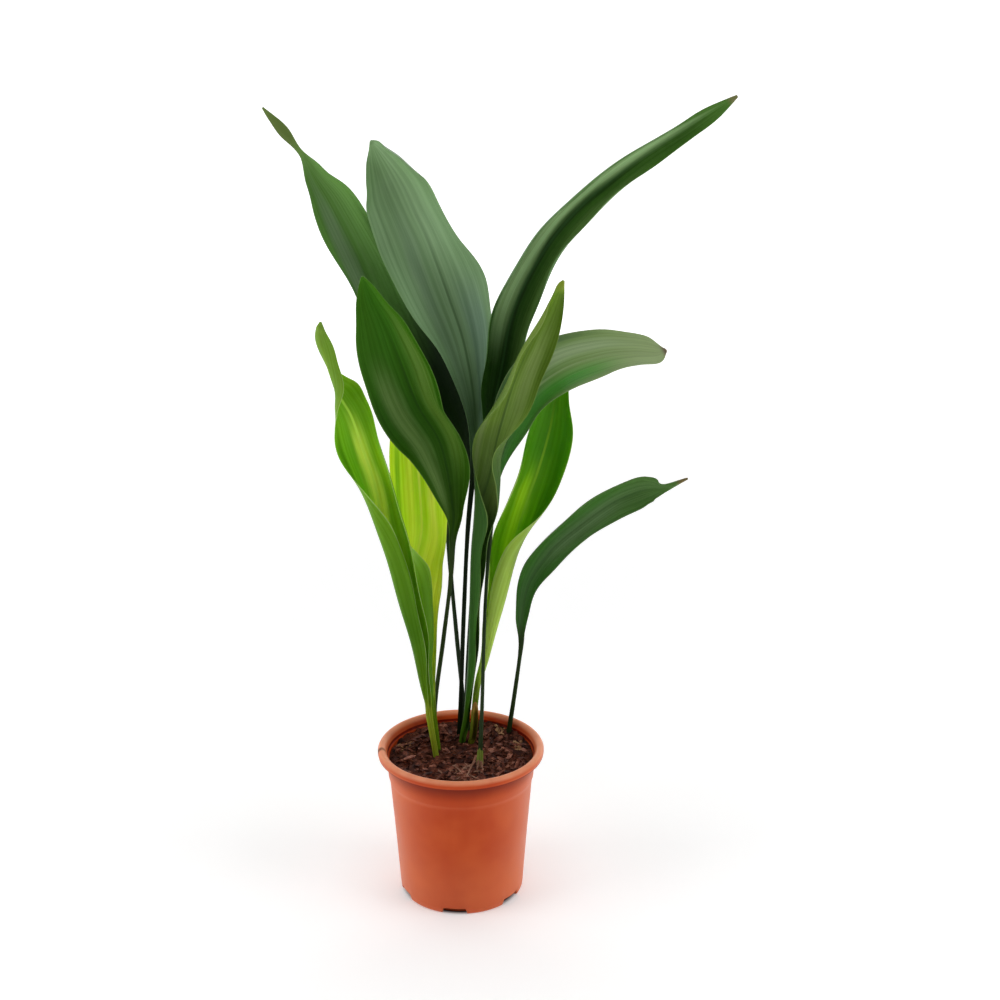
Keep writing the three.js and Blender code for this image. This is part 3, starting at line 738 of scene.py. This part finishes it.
def grow_leaf(name, rows, ripple):
    """The closed skin of one leaf, wrapped from a grid, with attributes that its paint follows."""
    rings = leaf_rings(rows)
    stalk = rows[0][3] * MM
    around = 2 * ACROSS
    bpy.ops.mesh.primitive_grid_add(x_subdivisions=around, y_subdivisions=len(rings) - 1, size=1)
    leaf = bpy.context.object
    leaf.name = name
    places, marks = [], []
    for ring in rings:
        half_width = max(ring[4][3], LEAST_HALF_WIDTH) * MM
        share = ring[3] / rings[-1][3]
        blade = max(smooth(half_width, 1.1 * stalk, 3.5 * stalk), smooth(share, 0.6, 0.7))
        width = min(half_width / FULL_RELIEF_WIDTH, 1.0)
        for k in range(around + 1):
            step = k % around
            upper = step < ACROSS
            fraction = step / (ACROSS - 1) if upper else (around - 1 - step) / (ACROSS - 1)
            side = 2 * fraction - 1
            places.extend(leaf_point(ring, side, upper, stalk, ripple))
            marks.append((side, share, side * half_width, float(upper), blade, width))
    leaf.data.vertices.foreach_set("co", places)
    for key, values in zip(("side", "along", "reach", "upper", "blade", "width"), zip(*marks)):
        leaf.data.attributes.new(key, "FLOAT", "POINT").data.foreach_set("value", values)
    leaf.data.update()
    enter("EDIT")
    bpy.ops.mesh.select_all(action="SELECT")
    bpy.ops.mesh.remove_doubles(threshold=1e-7)
    bpy.ops.mesh.fill_holes(sides=0)
    turn_outwards()
    bpy.ops.object.shade_smooth_by_angle(angle=math.radians(55))
    return leaf


def ramp(tree, value, stops):
    """A colour ramp over a socket. Each stop is a place and then red, green and blue, 0 to 255."""
    node = add(tree, "ValToRGB")
    points = node.color_ramp.elements
    while len(points) > 1:
        points.remove(points[0])
    points[0].position = stops[0][0]
    points[0].color = (*srgb(*stops[0][1:]), 1)
    for place, *colour in stops[1:]:
        points.new(place).color = (*srgb(*colour), 1)
    tree.links.new(value, node.inputs[0])
    return node.outputs[0]


def leaf_paint(
    name, upper, under, midrib, stalk, streak, bands, margin, rib_share=0.6, gloss=0.44, sheen=0.15,
    glow=0.0, tip=None,
):
    """Leaf tissue: colour along the blade on each face, long streaks, pale bands, veins and a midrib.

    Colours are 0 to 255. A band is (side, half width, along from, along to, colour, share), and fades
    out at its ends. Some stops along the blade and some bands are painted light and shade, as noted
    at each leaf. The margin is (colour, share), and the tip is (along from, fade, colour).
    """
    paint, tree, shader = painted(
        name, srgb(*upper[0][1:]), gloss,
        Subsurface_Weight=glow, Subsurface_Radius=(0.8, 1.0, 0.25), Subsurface_Scale=LIGHT_REACH,
    )

    def record(key):
        return add(tree, "Attribute", attribute_name=key).outputs["Fac"]

    side, along, reach, blade = record("side"), record("along"), record("reach"), record("blade")
    follow = add(tree, "CombineXYZ")
    tree.links.new(side, follow.inputs[0])
    tree.links.new(along, follow.inputs[1])
    follow.inputs[2].default_value = SKIN_STEP * len(name)
    skin = follow.outputs[0]
    streaks = between(tree, grain(tree, skin, 5.5, 4, 0.6, (2.4, 0.45, 1)), 0.34, 0.66)
    fine = grain(tree, skin, 16, 3, 0.6, (5.0, 0.35, 1))
    wobble = number(tree, "MULTIPLY_ADD", grain(tree, skin, 3.0, 2, 0.5, (1, 2.5, 1)), 0.3, -0.15)
    is_upper = between(tree, record("upper"), 0.4, 0.6)
    colour = blended(tree, is_upper, ramp(tree, along, under), ramp(tree, along, upper))
    # Some bands are the leaf's own colour, others are painted light and shade, as noted at each leaf.
    for middle, half, start, end, band_colour, share in bands:
        shifted = number(tree, "ADD", side, number(tree, "SUBTRACT", wobble, middle))
        across = between(tree, number(tree, "ABSOLUTE", shifted), half, 0.15 * half)
        begun = between(tree, along, start, start + BAND_FADE)
        ends = times(tree, begun, between(tree, along, end, end - BAND_FADE))
        mask = times(tree, times(tree, across, ends), is_upper)
        frayed = times(tree, mask, number(tree, "MULTIPLY_ADD", fine, 1.2, 0.4, clamp=True))
        colour = blended(tree, times(tree, frayed, share), colour, srgb(*band_colour))
    dark = add(tree, "HueSaturation", Value=0.62, Saturation=1.10)
    tree.links.new(colour, dark.inputs["Color"])
    light = add(tree, "HueSaturation", Value=1.26, Saturation=0.92)
    tree.links.new(colour, light.inputs["Color"])
    banded = blended(tree, streaks, dark.outputs[0], light.outputs[0])
    colour = blended(tree, streak, colour, banded)
    uneven = number(tree, "MULTIPLY_ADD", fine, VEIN_WANDER, times(tree, side, VEIN_PITCH))
    veins = number(tree, "SINE", uneven)
    vein_mask = times(tree, between(tree, veins, 0.4, 1.0), fine)
    colour = blended(tree, times(tree, vein_mask, 0.12), colour, light.outputs[0])
    threads = between(tree, fine, 0.50, 0.72)
    colour = blended(tree, times(tree, threads, 0.18), colour, dark.outputs[0])
    rib = times(tree, between(tree, number(tree, "ABSOLUTE", reach), 0.0015, 0.0004), blade)
    rib = times(tree, rib, between(tree, along, 0.97, 0.75))
    colour = blended(tree, times(tree, rib, rib_share), colour, srgb(*midrib))
    edge = times(tree, between(tree, number(tree, "ABSOLUTE", side), 0.955, 0.995), blade)
    colour = blended(tree, times(tree, edge, margin[1]), colour, srgb(*margin[0]))
    stalk_pale = srgb(*stalk)
    stalk_dark = tuple(0.7 * v for v in stalk_pale)
    stalk_colour = blended(tree, between(tree, fine, 0.4, 0.7), stalk_pale, stalk_dark)
    colour = blended(tree, blade, stalk_colour, colour)
    if tip:
        start, fade, tip_colour = tip
        colour = blended(tree, between(tree, along, start, start + fade), colour, srgb(*tip_colour))
    tree.links.new(colour, shader.inputs["Base Color"])
    satin = number(tree, "MULTIPLY_ADD", streaks, 0.12, gloss - 0.06)
    tree.links.new(satin, shader.inputs["Roughness"])
    shine = number(tree, "MULTIPLY_ADD", blade, sheen - STALK_SHEEN, STALK_SHEEN)
    tree.links.new(shine, shader.inputs["Specular IOR Level"])
    height = number(tree, "MULTIPLY_ADD", veins, 0.22, times(tree, fine, 1.2))
    cross = grain(tree, skin, 60, 2, 0.5, (1.0, 6.0, 1))
    height = number(tree, "MULTIPLY_ADD", cross, 0.35, height)
    height = times(tree, height, record("width"))
    relief(tree, shader, height, 0.00010)
    return paint


def add_leaf(node, rows, ripple, paint_name, **looks):
    """Paints and grows the leaf that stands for a node, and hands it over."""
    paint = leaf_paint(paint_name, **looks)
    leaf = grow_leaf(f"{node}_skin", rows, ripple)
    leaf.data.materials.append(paint)
    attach(leaf, "root")
    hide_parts(node)


LEAF_YOUNG_LEFT = [
    (-19, 4, 98, 2.4, 60, 60, 60), (-21, 4, 118, 2.5, 60, 60, 60), (-27, 2, 158, 3.5, 60, 100, 100),
    (-33, 0, 189, 11, 55, 185, 150), (-39, -3, 228, 20, 50, 190, 150), (-48, -6, 264, 25, 55, 200, 150),
    (-55, -9, 300, 27, 45, 210, 145), (-61, -12, 333, 29, 25, 195, 125),
    (-66, -15, 366, 28, 5, 145, 110), (-75, -18, 398, 26, 0, 85, 90), (-82, -21, 422, 23, 10, 90, 80),
    (-89, -23, 436, 20, 30, 110, 80), (-94, -25, 447, 15, 80, 100, 80),
    (-98, -27, 462, 10, 125, 70, 70), (-101, -29, 476, 8.5, 155, 55, 55),
    (-103, -30, 487, 6, 160, 45, 45), (-102, -31, 498, 0.8, 160, 30, 30),
]
add_leaf(
    "leaf_young_left", LEAF_YOUNG_LEFT, 0.6, "young_green_left",
    upper=[(0.0, 146, 166, 56), (0.35, 116, 168, 4), (0.7, 122, 182, 8), (1.0, 108, 150, 34)],
    under=[
        (0.0, 150, 170, 60), (0.12, 88, 124, 4), (0.35, 68, 114, 0), (0.6, 98, 146, 16),
        (1.0, 116, 150, 52),
    ],
    midrib=(216, 250, 100), stalk=(140, 158, 40), streak=0.34, rib_share=0.85, sheen=0.06, glow=0.45,
    bands=[
        (0.0, 0.34, 0.42, 0.84, (224, 252, 96), 1.0),
        (0.42, 0.22, 0.40, 0.80, (170, 214, 40), 0.6),
        (-0.75, 0.25, 0.40, 0.85, (60, 120, 0), 0.7),
    ],
    margin=((170, 200, 120), 0.6),
)

LEAF_YOUNG_BEHIND = [
    (-19, 16, 98, 2.2, 60, 60, 60), (-20, 16, 120, 2.4, 60, 60, 60), (-24, 18, 153, 3, 60, 100, 100),
    (-31, 20, 182, 12, 75, 185, 150), (-35, 22, 217, 21, 80, 195, 150),
    (-39, 24, 253, 28, 75, 200, 140), (-37, 28, 285, 30, 40, 180, 120), (-32, 30, 312, 31, 5, 110, 90),
    (-33, 32, 346, 29, 0, 75, 70), (-36, 33, 389, 24, 0, 60, 60), (-41, 35, 430, 14, 0, 50, 50),
    (-44, 37, 466, 1, 0, 30, 30),
]
# Its very pale upper face is partly the young leaf's own pale colour and partly painted light, for the
# light that shines through the thin blade.
add_leaf(
    "leaf_young_behind", LEAF_YOUNG_BEHIND, 0.6, "young_green_behind",
    upper=[(0.0, 96, 134, 6), (0.45, 226, 244, 100), (0.62, 196, 230, 40), (1.0, 196, 228, 52)],
    under=[(0.0, 84, 122, 6), (0.30, 84, 134, 4), (0.45, 96, 146, 8), (1.0, 172, 204, 72)],
    midrib=(232, 246, 104), stalk=(96, 128, 10), streak=0.30, rib_share=0.8, sheen=0.10, glow=0.6,
    bands=[
        (0.35, 0.20, 0.25, 0.85, (226, 244, 90), 0.9),
        (-0.3, 0.16, 0.25, 0.85, (216, 236, 76), 0.8),
        (-0.7, 0.2, 0.35, 0.85, (120, 170, 4), 0.7),
    ],
    margin=((196, 216, 130), 0.5),
)

LEAF_FRONT_LEFT = [
    (-24, 40, 98, 1.7, 0, 60, 60), (-23, 36, 151, 1.6, 0, 60, 60), (-15, 30, 214, 1.6, 0, 60, 60),
    (-8, 21, 272, 1.6, 0, 60, 60), (-6, 10, 312, 4, 10, 80, 80), (-5, 0, 342, 12, 10, 95, 80),
    (-13, -12, 396, 29.5, -10, 60, 60), (-31, -16, 430, 33.5, -10, 50, 70),
    (-43, -26, 466, 32, -5, 45, 60), (-53, -34, 496, 25, -10, 50, 60),
    (-62, -39, 516, 14.5, -10, 45, 60), (-69, -42, 534, 1, 0, 20, 20),
]
add_leaf(
    "leaf_front_left", LEAF_FRONT_LEFT, 1.0, "mature_green_front",
    upper=[(0.0, 46, 78, 6), (0.5, 46, 82, 4), (0.75, 38, 84, 0), (1.0, 56, 110, 4)],
    under=[(0.0, 50, 82, 20), (1.0, 90, 128, 60)],
    midrib=(30, 64, 6), stalk=(52, 70, 34), streak=0.50, rib_share=0.7, gloss=0.48, sheen=0.05,
    bands=[
        (-0.52, 0.34, 0.48, 0.88, (100, 132, 66), 0.9),
        (0.45, 0.42, 0.58, 0.98, (84, 118, 40), 0.9),
        (0.0, 0.6, 0.80, 1.1, (44, 100, 2), 0.6),
    ],
    margin=((110, 146, 70), 0.5),
)

LEAF_TALL_LEFT = [
    (-3, 50, 98, 1.7, 0, 60, 60), (1, 50, 140, 1.6, 0, 60, 60), (-4, 51, 205, 1.6, 0, 60, 60),
    (-9, 53, 269, 1.7, 0, 60, 60), (-11, 58, 312, 5, 0, 60, 60), (-11, 63, 363, 26, 10, 70, 60),
    (-26, 70, 413, 35.5, 10, 80, 60), (-48, 76, 462, 34, 10, 90, 60), (-65, 80, 502, 33, 10, 90, 60),
    (-80, 84, 535, 30, 0, 80, 70), (-100, 87, 573, 24, -5, 70, 75), (-114, 89, 593, 14, -5, 70, 75),
    (-127, 90, 612, 2.5, 20, 40, 40), (-142, 91, 630, 5, 20, 40, 40), (-157, 92, 648, 0.8, 20, 20, 20),
]
# The dark upper face below six tenths of its length and the dark band on its right half are painted
# shade: the shadow of the tall centre leaf and of the leaf's own fold.
add_leaf(
    "leaf_tall_left", LEAF_TALL_LEFT, 1.0, "mature_green_tall_left",
    upper=[(0.0, 20, 44, 10), (0.58, 12, 36, 6), (0.70, 98, 148, 66), (1.0, 108, 150, 74)],
    under=[(0.0, 50, 80, 24), (1.0, 80, 118, 56)],
    midrib=(110, 148, 84), stalk=(40, 56, 34), streak=0.45, rib_share=0.25,
    bands=[(0.75, 0.45, 0.3, 0.86, (10, 36, 4), 0.95), (-0.5, 0.35, 0.5, 0.92, (128, 154, 116), 0.8)],
    margin=((120, 156, 96), 0.4), tip=(0.90, 0.05, (96, 116, 56)),
)

LEAF_TALL_CENTRE = [
    (-4, 41, 98, 1.7, 0, 60, 60), (-1, 41, 153, 1.6, 0, 60, 60), (2, 41, 228, 1.6, 0, 60, 60),
    (6, 46, 307, 1.7, 0, 60, 60), (12, 50, 371, 4, 0, 60, 60), (12, 52, 413, 16, 0, 110, 110),
    (4, 56, 462, 32, 0, 90, 75), (-9, 58, 503, 40.5, 0, 70, 60), (-24, 58, 545, 41.5, -20, 60, 60),
    (-35, 59, 569, 38.5, -20, 65, 65), (-44, 59, 589, 36, -20, 70, 70),
    (-52, 58, 603, 27.5, -20, 75, 80), (-61, 61, 615, 15, -20, 70, 80), (-69, 64, 624, 1, -20, 10, 10),
]
# The pale bluish grey of the upper face towards the tip and its two bluish grey bands are painted
# sheen, and the dark band beside the midrib is painted shade in the crease there.
add_leaf(
    "leaf_tall_centre", LEAF_TALL_CENTRE, 1.0, "mature_green_tall_centre",
    upper=[(0.0, 36, 62, 30), (0.52, 60, 94, 54), (0.66, 142, 176, 132), (1.0, 118, 154, 100)],
    under=[(0.0, 50, 80, 36), (1.0, 112, 138, 108)],
    midrib=(74, 106, 62), stalk=(18, 30, 14), streak=0.45, rib_share=0.6, gloss=0.40, sheen=0.34,
    bands=[
        (0.45, 0.40, 0.42, 0.80, (128, 158, 138), 0.85),
        (-0.35, 0.22, 0.55, 0.92, (128, 154, 124), 0.6),
        (-0.12, 0.10, 0.42, 0.62, (48, 82, 36), 0.8),
    ],
    margin=((120, 156, 96), 0.4),
)

LEAF_ARCHING_RIGHT = [
    (8, 45, 98, 1.7, -10, 60, 60), (4, 45, 151, 1.6, -10, 60, 60), (9, 43, 245, 1.6, -10, 60, 60),
    (16, 42, 334, 1.7, -10, 60, 60), (24, 44, 394, 7, -10, 80, 80), (34, 38, 446, 22, -5, 100, 95),
    (44, 31, 496, 28.5, -5, 110, 100), (67, 22, 543, 25, -10, 115, 110),
    (96, 12, 580, 21.5, -10, 120, 110), (136, 0, 614, 16.5, -10, 110, 105),
    (174, -9, 639, 11, -10, 90, 90), (206, -18, 662, 1, -10, 15, 15),
]
# The pale band on the left half is painted light, on the half of the folded blade that faces up, and
# the dark band along the midrib is painted shade in the fold.
add_leaf(
    "leaf_arching_right", LEAF_ARCHING_RIGHT, 1.0, "mature_green_arching",
    upper=[
        (0.0, 30, 62, 12), (0.5, 26, 62, 6), (0.62, 46, 88, 22), (0.8, 66, 112, 34), (1.0, 74, 116, 44),
    ],
    under=[(0.0, 50, 80, 24), (0.6, 74, 116, 56), (1.0, 90, 126, 66)],
    midrib=(60, 104, 50), stalk=(40, 56, 34), streak=0.45, rib_share=0.5, sheen=0.08,
    bands=[
        (-0.35, 0.42, 0.54, 0.99, (176, 214, 150), 1.0),
        (0.02, 0.16, 0.40, 0.92, (22, 54, 6), 0.8),
        (0.55, 0.38, 0.40, 0.92, (92, 126, 62), 0.9),
    ],
    margin=((100, 130, 80), 0.4), tip=(0.985, 0.01, (110, 112, 70)),
)

LEAF_NARROW_FRONT = [
    (0, 30, 98, 2.6, 60, 60, 60), (0, 30, 118, 3.5, 60, 60, 60), (3, 26, 149, 6, 50, 170, 150),
    (7, 20, 200, 10, 50, 180, 155), (9, 12, 257, 12.5, 50, 185, 155), (11, 6, 307, 17, 50, 195, 150),
    (17, 2, 341, 23, 20, 190, 130), (25, -4, 371, 25, -20, 150, 110), (31, -12, 403, 25, -30, 125, 120),
    (43, -22, 447, 23, 30, 90, 100), (56, -30, 480, 20, 30, 90, 85), (69, -36, 507, 13, 35, 85, 80),
    (80, -42, 531, 1, 30, 20, 20),
]
# The pale greyish band near the left margin is painted highlight.
add_leaf(
    "leaf_narrow_front", LEAF_NARROW_FRONT, 1.0, "mature_green_narrow",
    upper=[
        (0.0, 48, 88, 14), (0.5, 48, 86, 20), (0.72, 134, 166, 72), (0.85, 98, 128, 36),
        (1.0, 94, 130, 10),
    ],
    under=[
        (0.0, 56, 104, 8), (0.25, 40, 94, 4), (0.60, 40, 80, 12), (0.8, 104, 132, 54),
        (1.0, 118, 142, 56),
    ],
    midrib=(60, 92, 30), stalk=(66, 104, 16), streak=0.45,
    bands=[
        (0.45, 0.35, 0.5, 0.95, (146, 172, 92), 0.7),
        (-0.6, 0.25, 0.55, 0.85, (140, 158, 104), 0.6),
    ],
    margin=((130, 156, 80), 0.5), tip=(0.975, 0.02, (120, 140, 40)),
)

LEAF_LEVEL_RIGHT = [
    (16, -12, 98, 2, -60, 60, 60), (16, -12, 121, 2.2, -60, 60, 60), (18, -2, 173, 1.7, -60, 60, 60),
    (20, 14, 239, 1.6, -60, 60, 60), (23, 17, 291, 1.7, -60, 60, 60), (28, 18, 342, 4, -60, 60, 60),
    (35, 12, 386, 13, -30, 50, 50), (53, 4, 429, 24, -40, 50, 50), (80, 2, 453, 31, -60, 30, 30),
    (112, 10, 463, 26, -60, 25, 25), (137, 16, 465, 21, -60, 20, 20), (155, 19, 464, 15, -60, 20, 20),
    (165, 21, 465, 1, -60, 10, 10),
]
# The pale greyish band on the left half is painted highlight, where the upper side of the blade is lit,
# and the darker strip at the left margin is painted shade under the margin's fold.
add_leaf(
    "leaf_level_right", LEAF_LEVEL_RIGHT, 1.0, "mature_green_level",
    upper=[
        (0.0, 30, 58, 14), (0.5, 38, 78, 24), (0.68, 70, 122, 44), (0.85, 112, 142, 74),
        (1.0, 140, 160, 106),
    ],
    under=[(0.0, 50, 84, 22), (0.6, 100, 128, 76), (1.0, 112, 136, 88)],
    midrib=(150, 174, 116), stalk=(40, 56, 30), streak=0.40, rib_share=0.5, sheen=0.3,
    bands=[
        (-0.45, 0.30, 0.66, 0.98, (146, 168, 122), 0.8),
        (0.50, 0.55, 0.50, 0.94, (58, 136, 24), 1.0),
        (-0.9, 0.18, 0.6, 0.92, (70, 104, 58), 0.8),
    ],
    margin=((140, 160, 112), 0.5), tip=(0.988, 0.010, (112, 96, 74)),
)

LEAF_YOUNG_RIGHT = [
    (9, 37, 98, 2.2, -50, 60, 60), (9, 37, 119, 2.4, -50, 60, 60), (13, 38, 159, 3.5, -50, 100, 100),
    (22, 40, 191, 10, -50, 160, 190), (29, 42, 220, 18, -50, 165, 190),
    (36, 44, 249, 25, -45, 165, 195), (44, 47, 291, 29, -30, 130, 170), (55, 50, 329, 29, -5, 105, 110),
    (65, 52, 358, 28, 0, 100, 80), (74, 54, 391, 25, -10, 95, 60), (79, 56, 419, 15, -10, 70, 60),
    (85, 58, 445, 1, 0, 20, 20),
]
# The pale colours of both faces are partly the young leaf's own colour and partly painted light, for
# the light that shines through the thin blade.
add_leaf(
    "leaf_young_right", LEAF_YOUNG_RIGHT, 0.6, "young_green_right",
    upper=[
        (0.0, 92, 126, 6), (0.35, 212, 238, 110), (0.55, 136, 192, 10), (0.8, 76, 142, 0),
        (1.0, 84, 144, 6),
    ],
    under=[(0.0, 98, 130, 12), (0.35, 172, 206, 84), (0.7, 158, 194, 76), (1.0, 140, 178, 70)],
    midrib=(176, 216, 60), stalk=(94, 124, 8), streak=0.32, sheen=0.12, glow=0.45,
    bands=[
        (-0.15, 0.30, 0.35, 0.78, (184, 228, 20), 0.9),
        (0.6, 0.4, 0.5, 0.95, (56, 124, 0), 0.8),
        (-0.85, 0.2, 0.45, 0.9, (50, 112, 4), 0.7),
    ],
    margin=((180, 206, 120), 0.55),
)

LEAF_LOW_RIGHT = [
    (36, 38, 98, 1.8, -20, 60, 60), (40, 40, 120, 1.9, -20, 60, 60), (46, 40, 163, 1.6, -20, 60, 60),
    (51, 40, 205, 2, -20, 60, 60), (52, 38, 234, 7, -20, 80, 60), (58, 36, 264, 12, -20, 90, 60),
    (76, 32, 294, 19, -20, 105, 90), (101, 28, 318, 19.5, -20, 100, 90),
    (126, 24, 338, 19.5, -20, 90, 90), (146, 21, 348, 19, -20, 80, 85), (157, 19, 351, 13, -20, 60, 70),
    (166, 18, 352, 4, -20, 40, 40), (185, 16, 361, 0.8, 0, 10, 10),
]
add_leaf(
    "leaf_low_right", LEAF_LOW_RIGHT, 1.0, "mature_green_low",
    upper=[(0.0, 34, 68, 14), (0.5, 58, 112, 34), (0.75, 92, 134, 68), (1.0, 70, 110, 40)],
    under=[(0.0, 56, 84, 30), (1.0, 90, 124, 66)],
    midrib=(54, 92, 34), stalk=(44, 62, 30), streak=0.50, rib_share=0.5, sheen=0.26,
    bands=[(0.20, 0.45, 0.54, 0.86, (112, 146, 92), 0.75), (-0.5, 0.4, 0.45, 0.9, (56, 122, 26), 0.6)],
    margin=((100, 130, 70), 0.4), tip=(0.965, 0.02, (110, 96, 56)),
)

YOUNG_SHOOT = [
    (8, 26, 98, 2, 20, 60, 60), (8, 26, 119, 2.4, 20, 60, 60), (8.6, 25, 129, 6, 20, 150, 120),
    (9.5, 24, 140, 6.5, 20, 155, 120), (11, 23, 151, 4, 20, 120, 90), (12, 22, 160, 0.8, 20, 40, 40),
]
add_leaf(
    "young_shoot", YOUNG_SHOOT, 0.6, "shoot_olive",
    upper=[(0.0, 90, 100, 20), (0.7, 104, 120, 24), (1.0, 140, 104, 40)],
    under=[(0.0, 90, 100, 20), (0.7, 106, 124, 24), (1.0, 140, 104, 40)],
    midrib=(130, 128, 44), stalk=(96, 102, 20), streak=0.4, sheen=0.12,
    bands=[(0.5, 0.4, 0.3, 1.1, (110, 70, 30), 0.6)],
    margin=((150, 100, 48), 0.5),
)


# ---------------------------------------------------------------- base sheath
# The dry papery sheath round the foot of the level leaf's stalk: a rolled scale, light green where it
# clasps the stalk and pinkish tan below, with a torn top. Strips split from it lie on the soil.

SHEATH_FOOT = 0.1120
SHEATH_TOP = 0.1345
SHEATH_RADIUS = 0.0025
SHEATH_WRAP = math.radians(290)
SHEATH_FACING = math.radians(80)
SHEATH_SKIN = 0.00035
SHEATH_COLUMNS = 30
SHEATH_ROWS = 18
LEAN_START = 0.121
LEAN_RISE = 0.052


def stalk_place(height):
    """Middle of the level leaf's stalk at a height. It leans back and right above its foot."""
    share = min(max((height - LEAN_START) / LEAN_RISE, 0.0), 1.0)
    return Vector((0.016 + 0.002 * share, -0.012 + 0.010 * share * (0.6 + 0.4 * share), height))


def thicken(piece, wall):
    """Gives a skin its thickness on both sides, and smooth shading."""
    enter("EDIT")
    turn_outwards()
    wall_modifier = piece.modifiers.new("wall", "SOLIDIFY")
    wall_modifier.thickness = wall
    wall_modifier.offset = 0.0
    bpy.ops.object.modifier_apply(modifier="wall")
    bpy.ops.object.shade_smooth_by_angle(angle=math.radians(50))


sheath_paint, tree, shader = painted("dry_sheath", srgb(150, 110, 78), 0.7, Specular_IOR_Level=0.25)
where = object_point(tree)
parts = add(tree, "SeparateXYZ")
tree.links.new(where, parts.inputs[0])
fibres = grain(tree, where, 420, 4, 0.7, (1, 1, 0.08))
low = blended(tree, fibres, srgb(104, 66, 48), srgb(206, 160, 126))
high = blended(tree, fibres, srgb(76, 100, 24), srgb(140, 162, 64))
uneven = number(tree, "MULTIPLY_ADD", fibres, 0.008, parts.outputs[2])
colour = blended(tree, between(tree, uneven, 0.1225, 0.1300), low, high)
tree.links.new(colour, shader.inputs["Base Color"])
relief(tree, shader, fibres, 0.0003)

bpy.ops.mesh.primitive_grid_add(x_subdivisions=SHEATH_COLUMNS, y_subdivisions=SHEATH_ROWS, size=1)
sheath = bpy.context.object
sheath.name = "torn_sheath"
for vertex in sheath.data.vertices:
    across, up = vertex.co.x + 0.5, vertex.co.y + 0.5
    angle = SHEATH_FACING + (across - 0.5) * SHEATH_WRAP + math.pi
    torn = 0.0060 * abs(noise.noise(Vector((across * 8, 0.4, 2.2)))) + 0.0070 * abs(across - 0.5)
    height = SHEATH_FOOT + (SHEATH_TOP - torn - SHEATH_FOOT) * up
    flare = 0.0011 * (1 - up) ** 2 - 0.0003 * up
    wrinkle = 0.00025 * math.sin(angle * 9 + up * 3)
    reach = SHEATH_RADIUS + flare + wrinkle
    vertex.co = stalk_place(height) + Vector((math.cos(angle), math.sin(angle), 0)) * reach
thicken(sheath, SHEATH_SKIN)
sheath.data.materials.append(sheath_paint)
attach(sheath, "root")
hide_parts("base_sheath")

# Each strip: where it starts, where its middle passes, where it ends, and its half width.
STRIPS = [
    ((0.0130, -0.0150, 0.1285), (0.0095, -0.0265, 0.1235), (0.0050, -0.0390, 0.1215), 0.0009),
    ((0.0150, -0.0152, 0.1240), (0.0145, -0.0195, 0.1215), (0.0135, -0.0260, 0.1195), 0.0008),
    ((0.0170, -0.0154, 0.1235), (0.0180, -0.0190, 0.1210), (0.0185, -0.0240, 0.1192), 0.0007),
    ((0.0128, -0.0140, 0.1225), (0.0085, -0.0180, 0.1210), (0.0035, -0.0215, 0.1200), 0.0008),
    ((-0.0060, -0.0180, 0.1210), (-0.0020, -0.0260, 0.1222), (0.0040, -0.0345, 0.1208), 0.0010),
]
STRIP_STEPS = 14
loose_strips = []
for start, middle, end, half_width in STRIPS:
    bpy.ops.mesh.primitive_grid_add(x_subdivisions=4, y_subdivisions=STRIP_STEPS, size=1)
    strip = bpy.context.object
    start, middle, end = Vector(start), Vector(middle), Vector(end)
    along = (end - start).normalized()
    sideways = along.cross(Vector((0, 0, 1))).normalized()
    for vertex in strip.data.vertices:
        across, up = vertex.co.x * 2, vertex.co.y + 0.5
        curve = start * (1 - up) ** 2 + middle * 2 * up * (1 - up) + end * up**2
        width = half_width * (1 - 0.75 * up**2)
        curled = 0.0004 * across**2 + 0.0003 * math.sin(up * 11 + half_width * 9000)
        vertex.co = curve + sideways * across * width + Vector((0, 0, curled))
    loose_strips.append(strip)
strips = joined(loose_strips, "sheath_strips")
thicken(strips, SHEATH_SKIN)
strips.data.materials.append(fibre_paint)
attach(strips, "root")
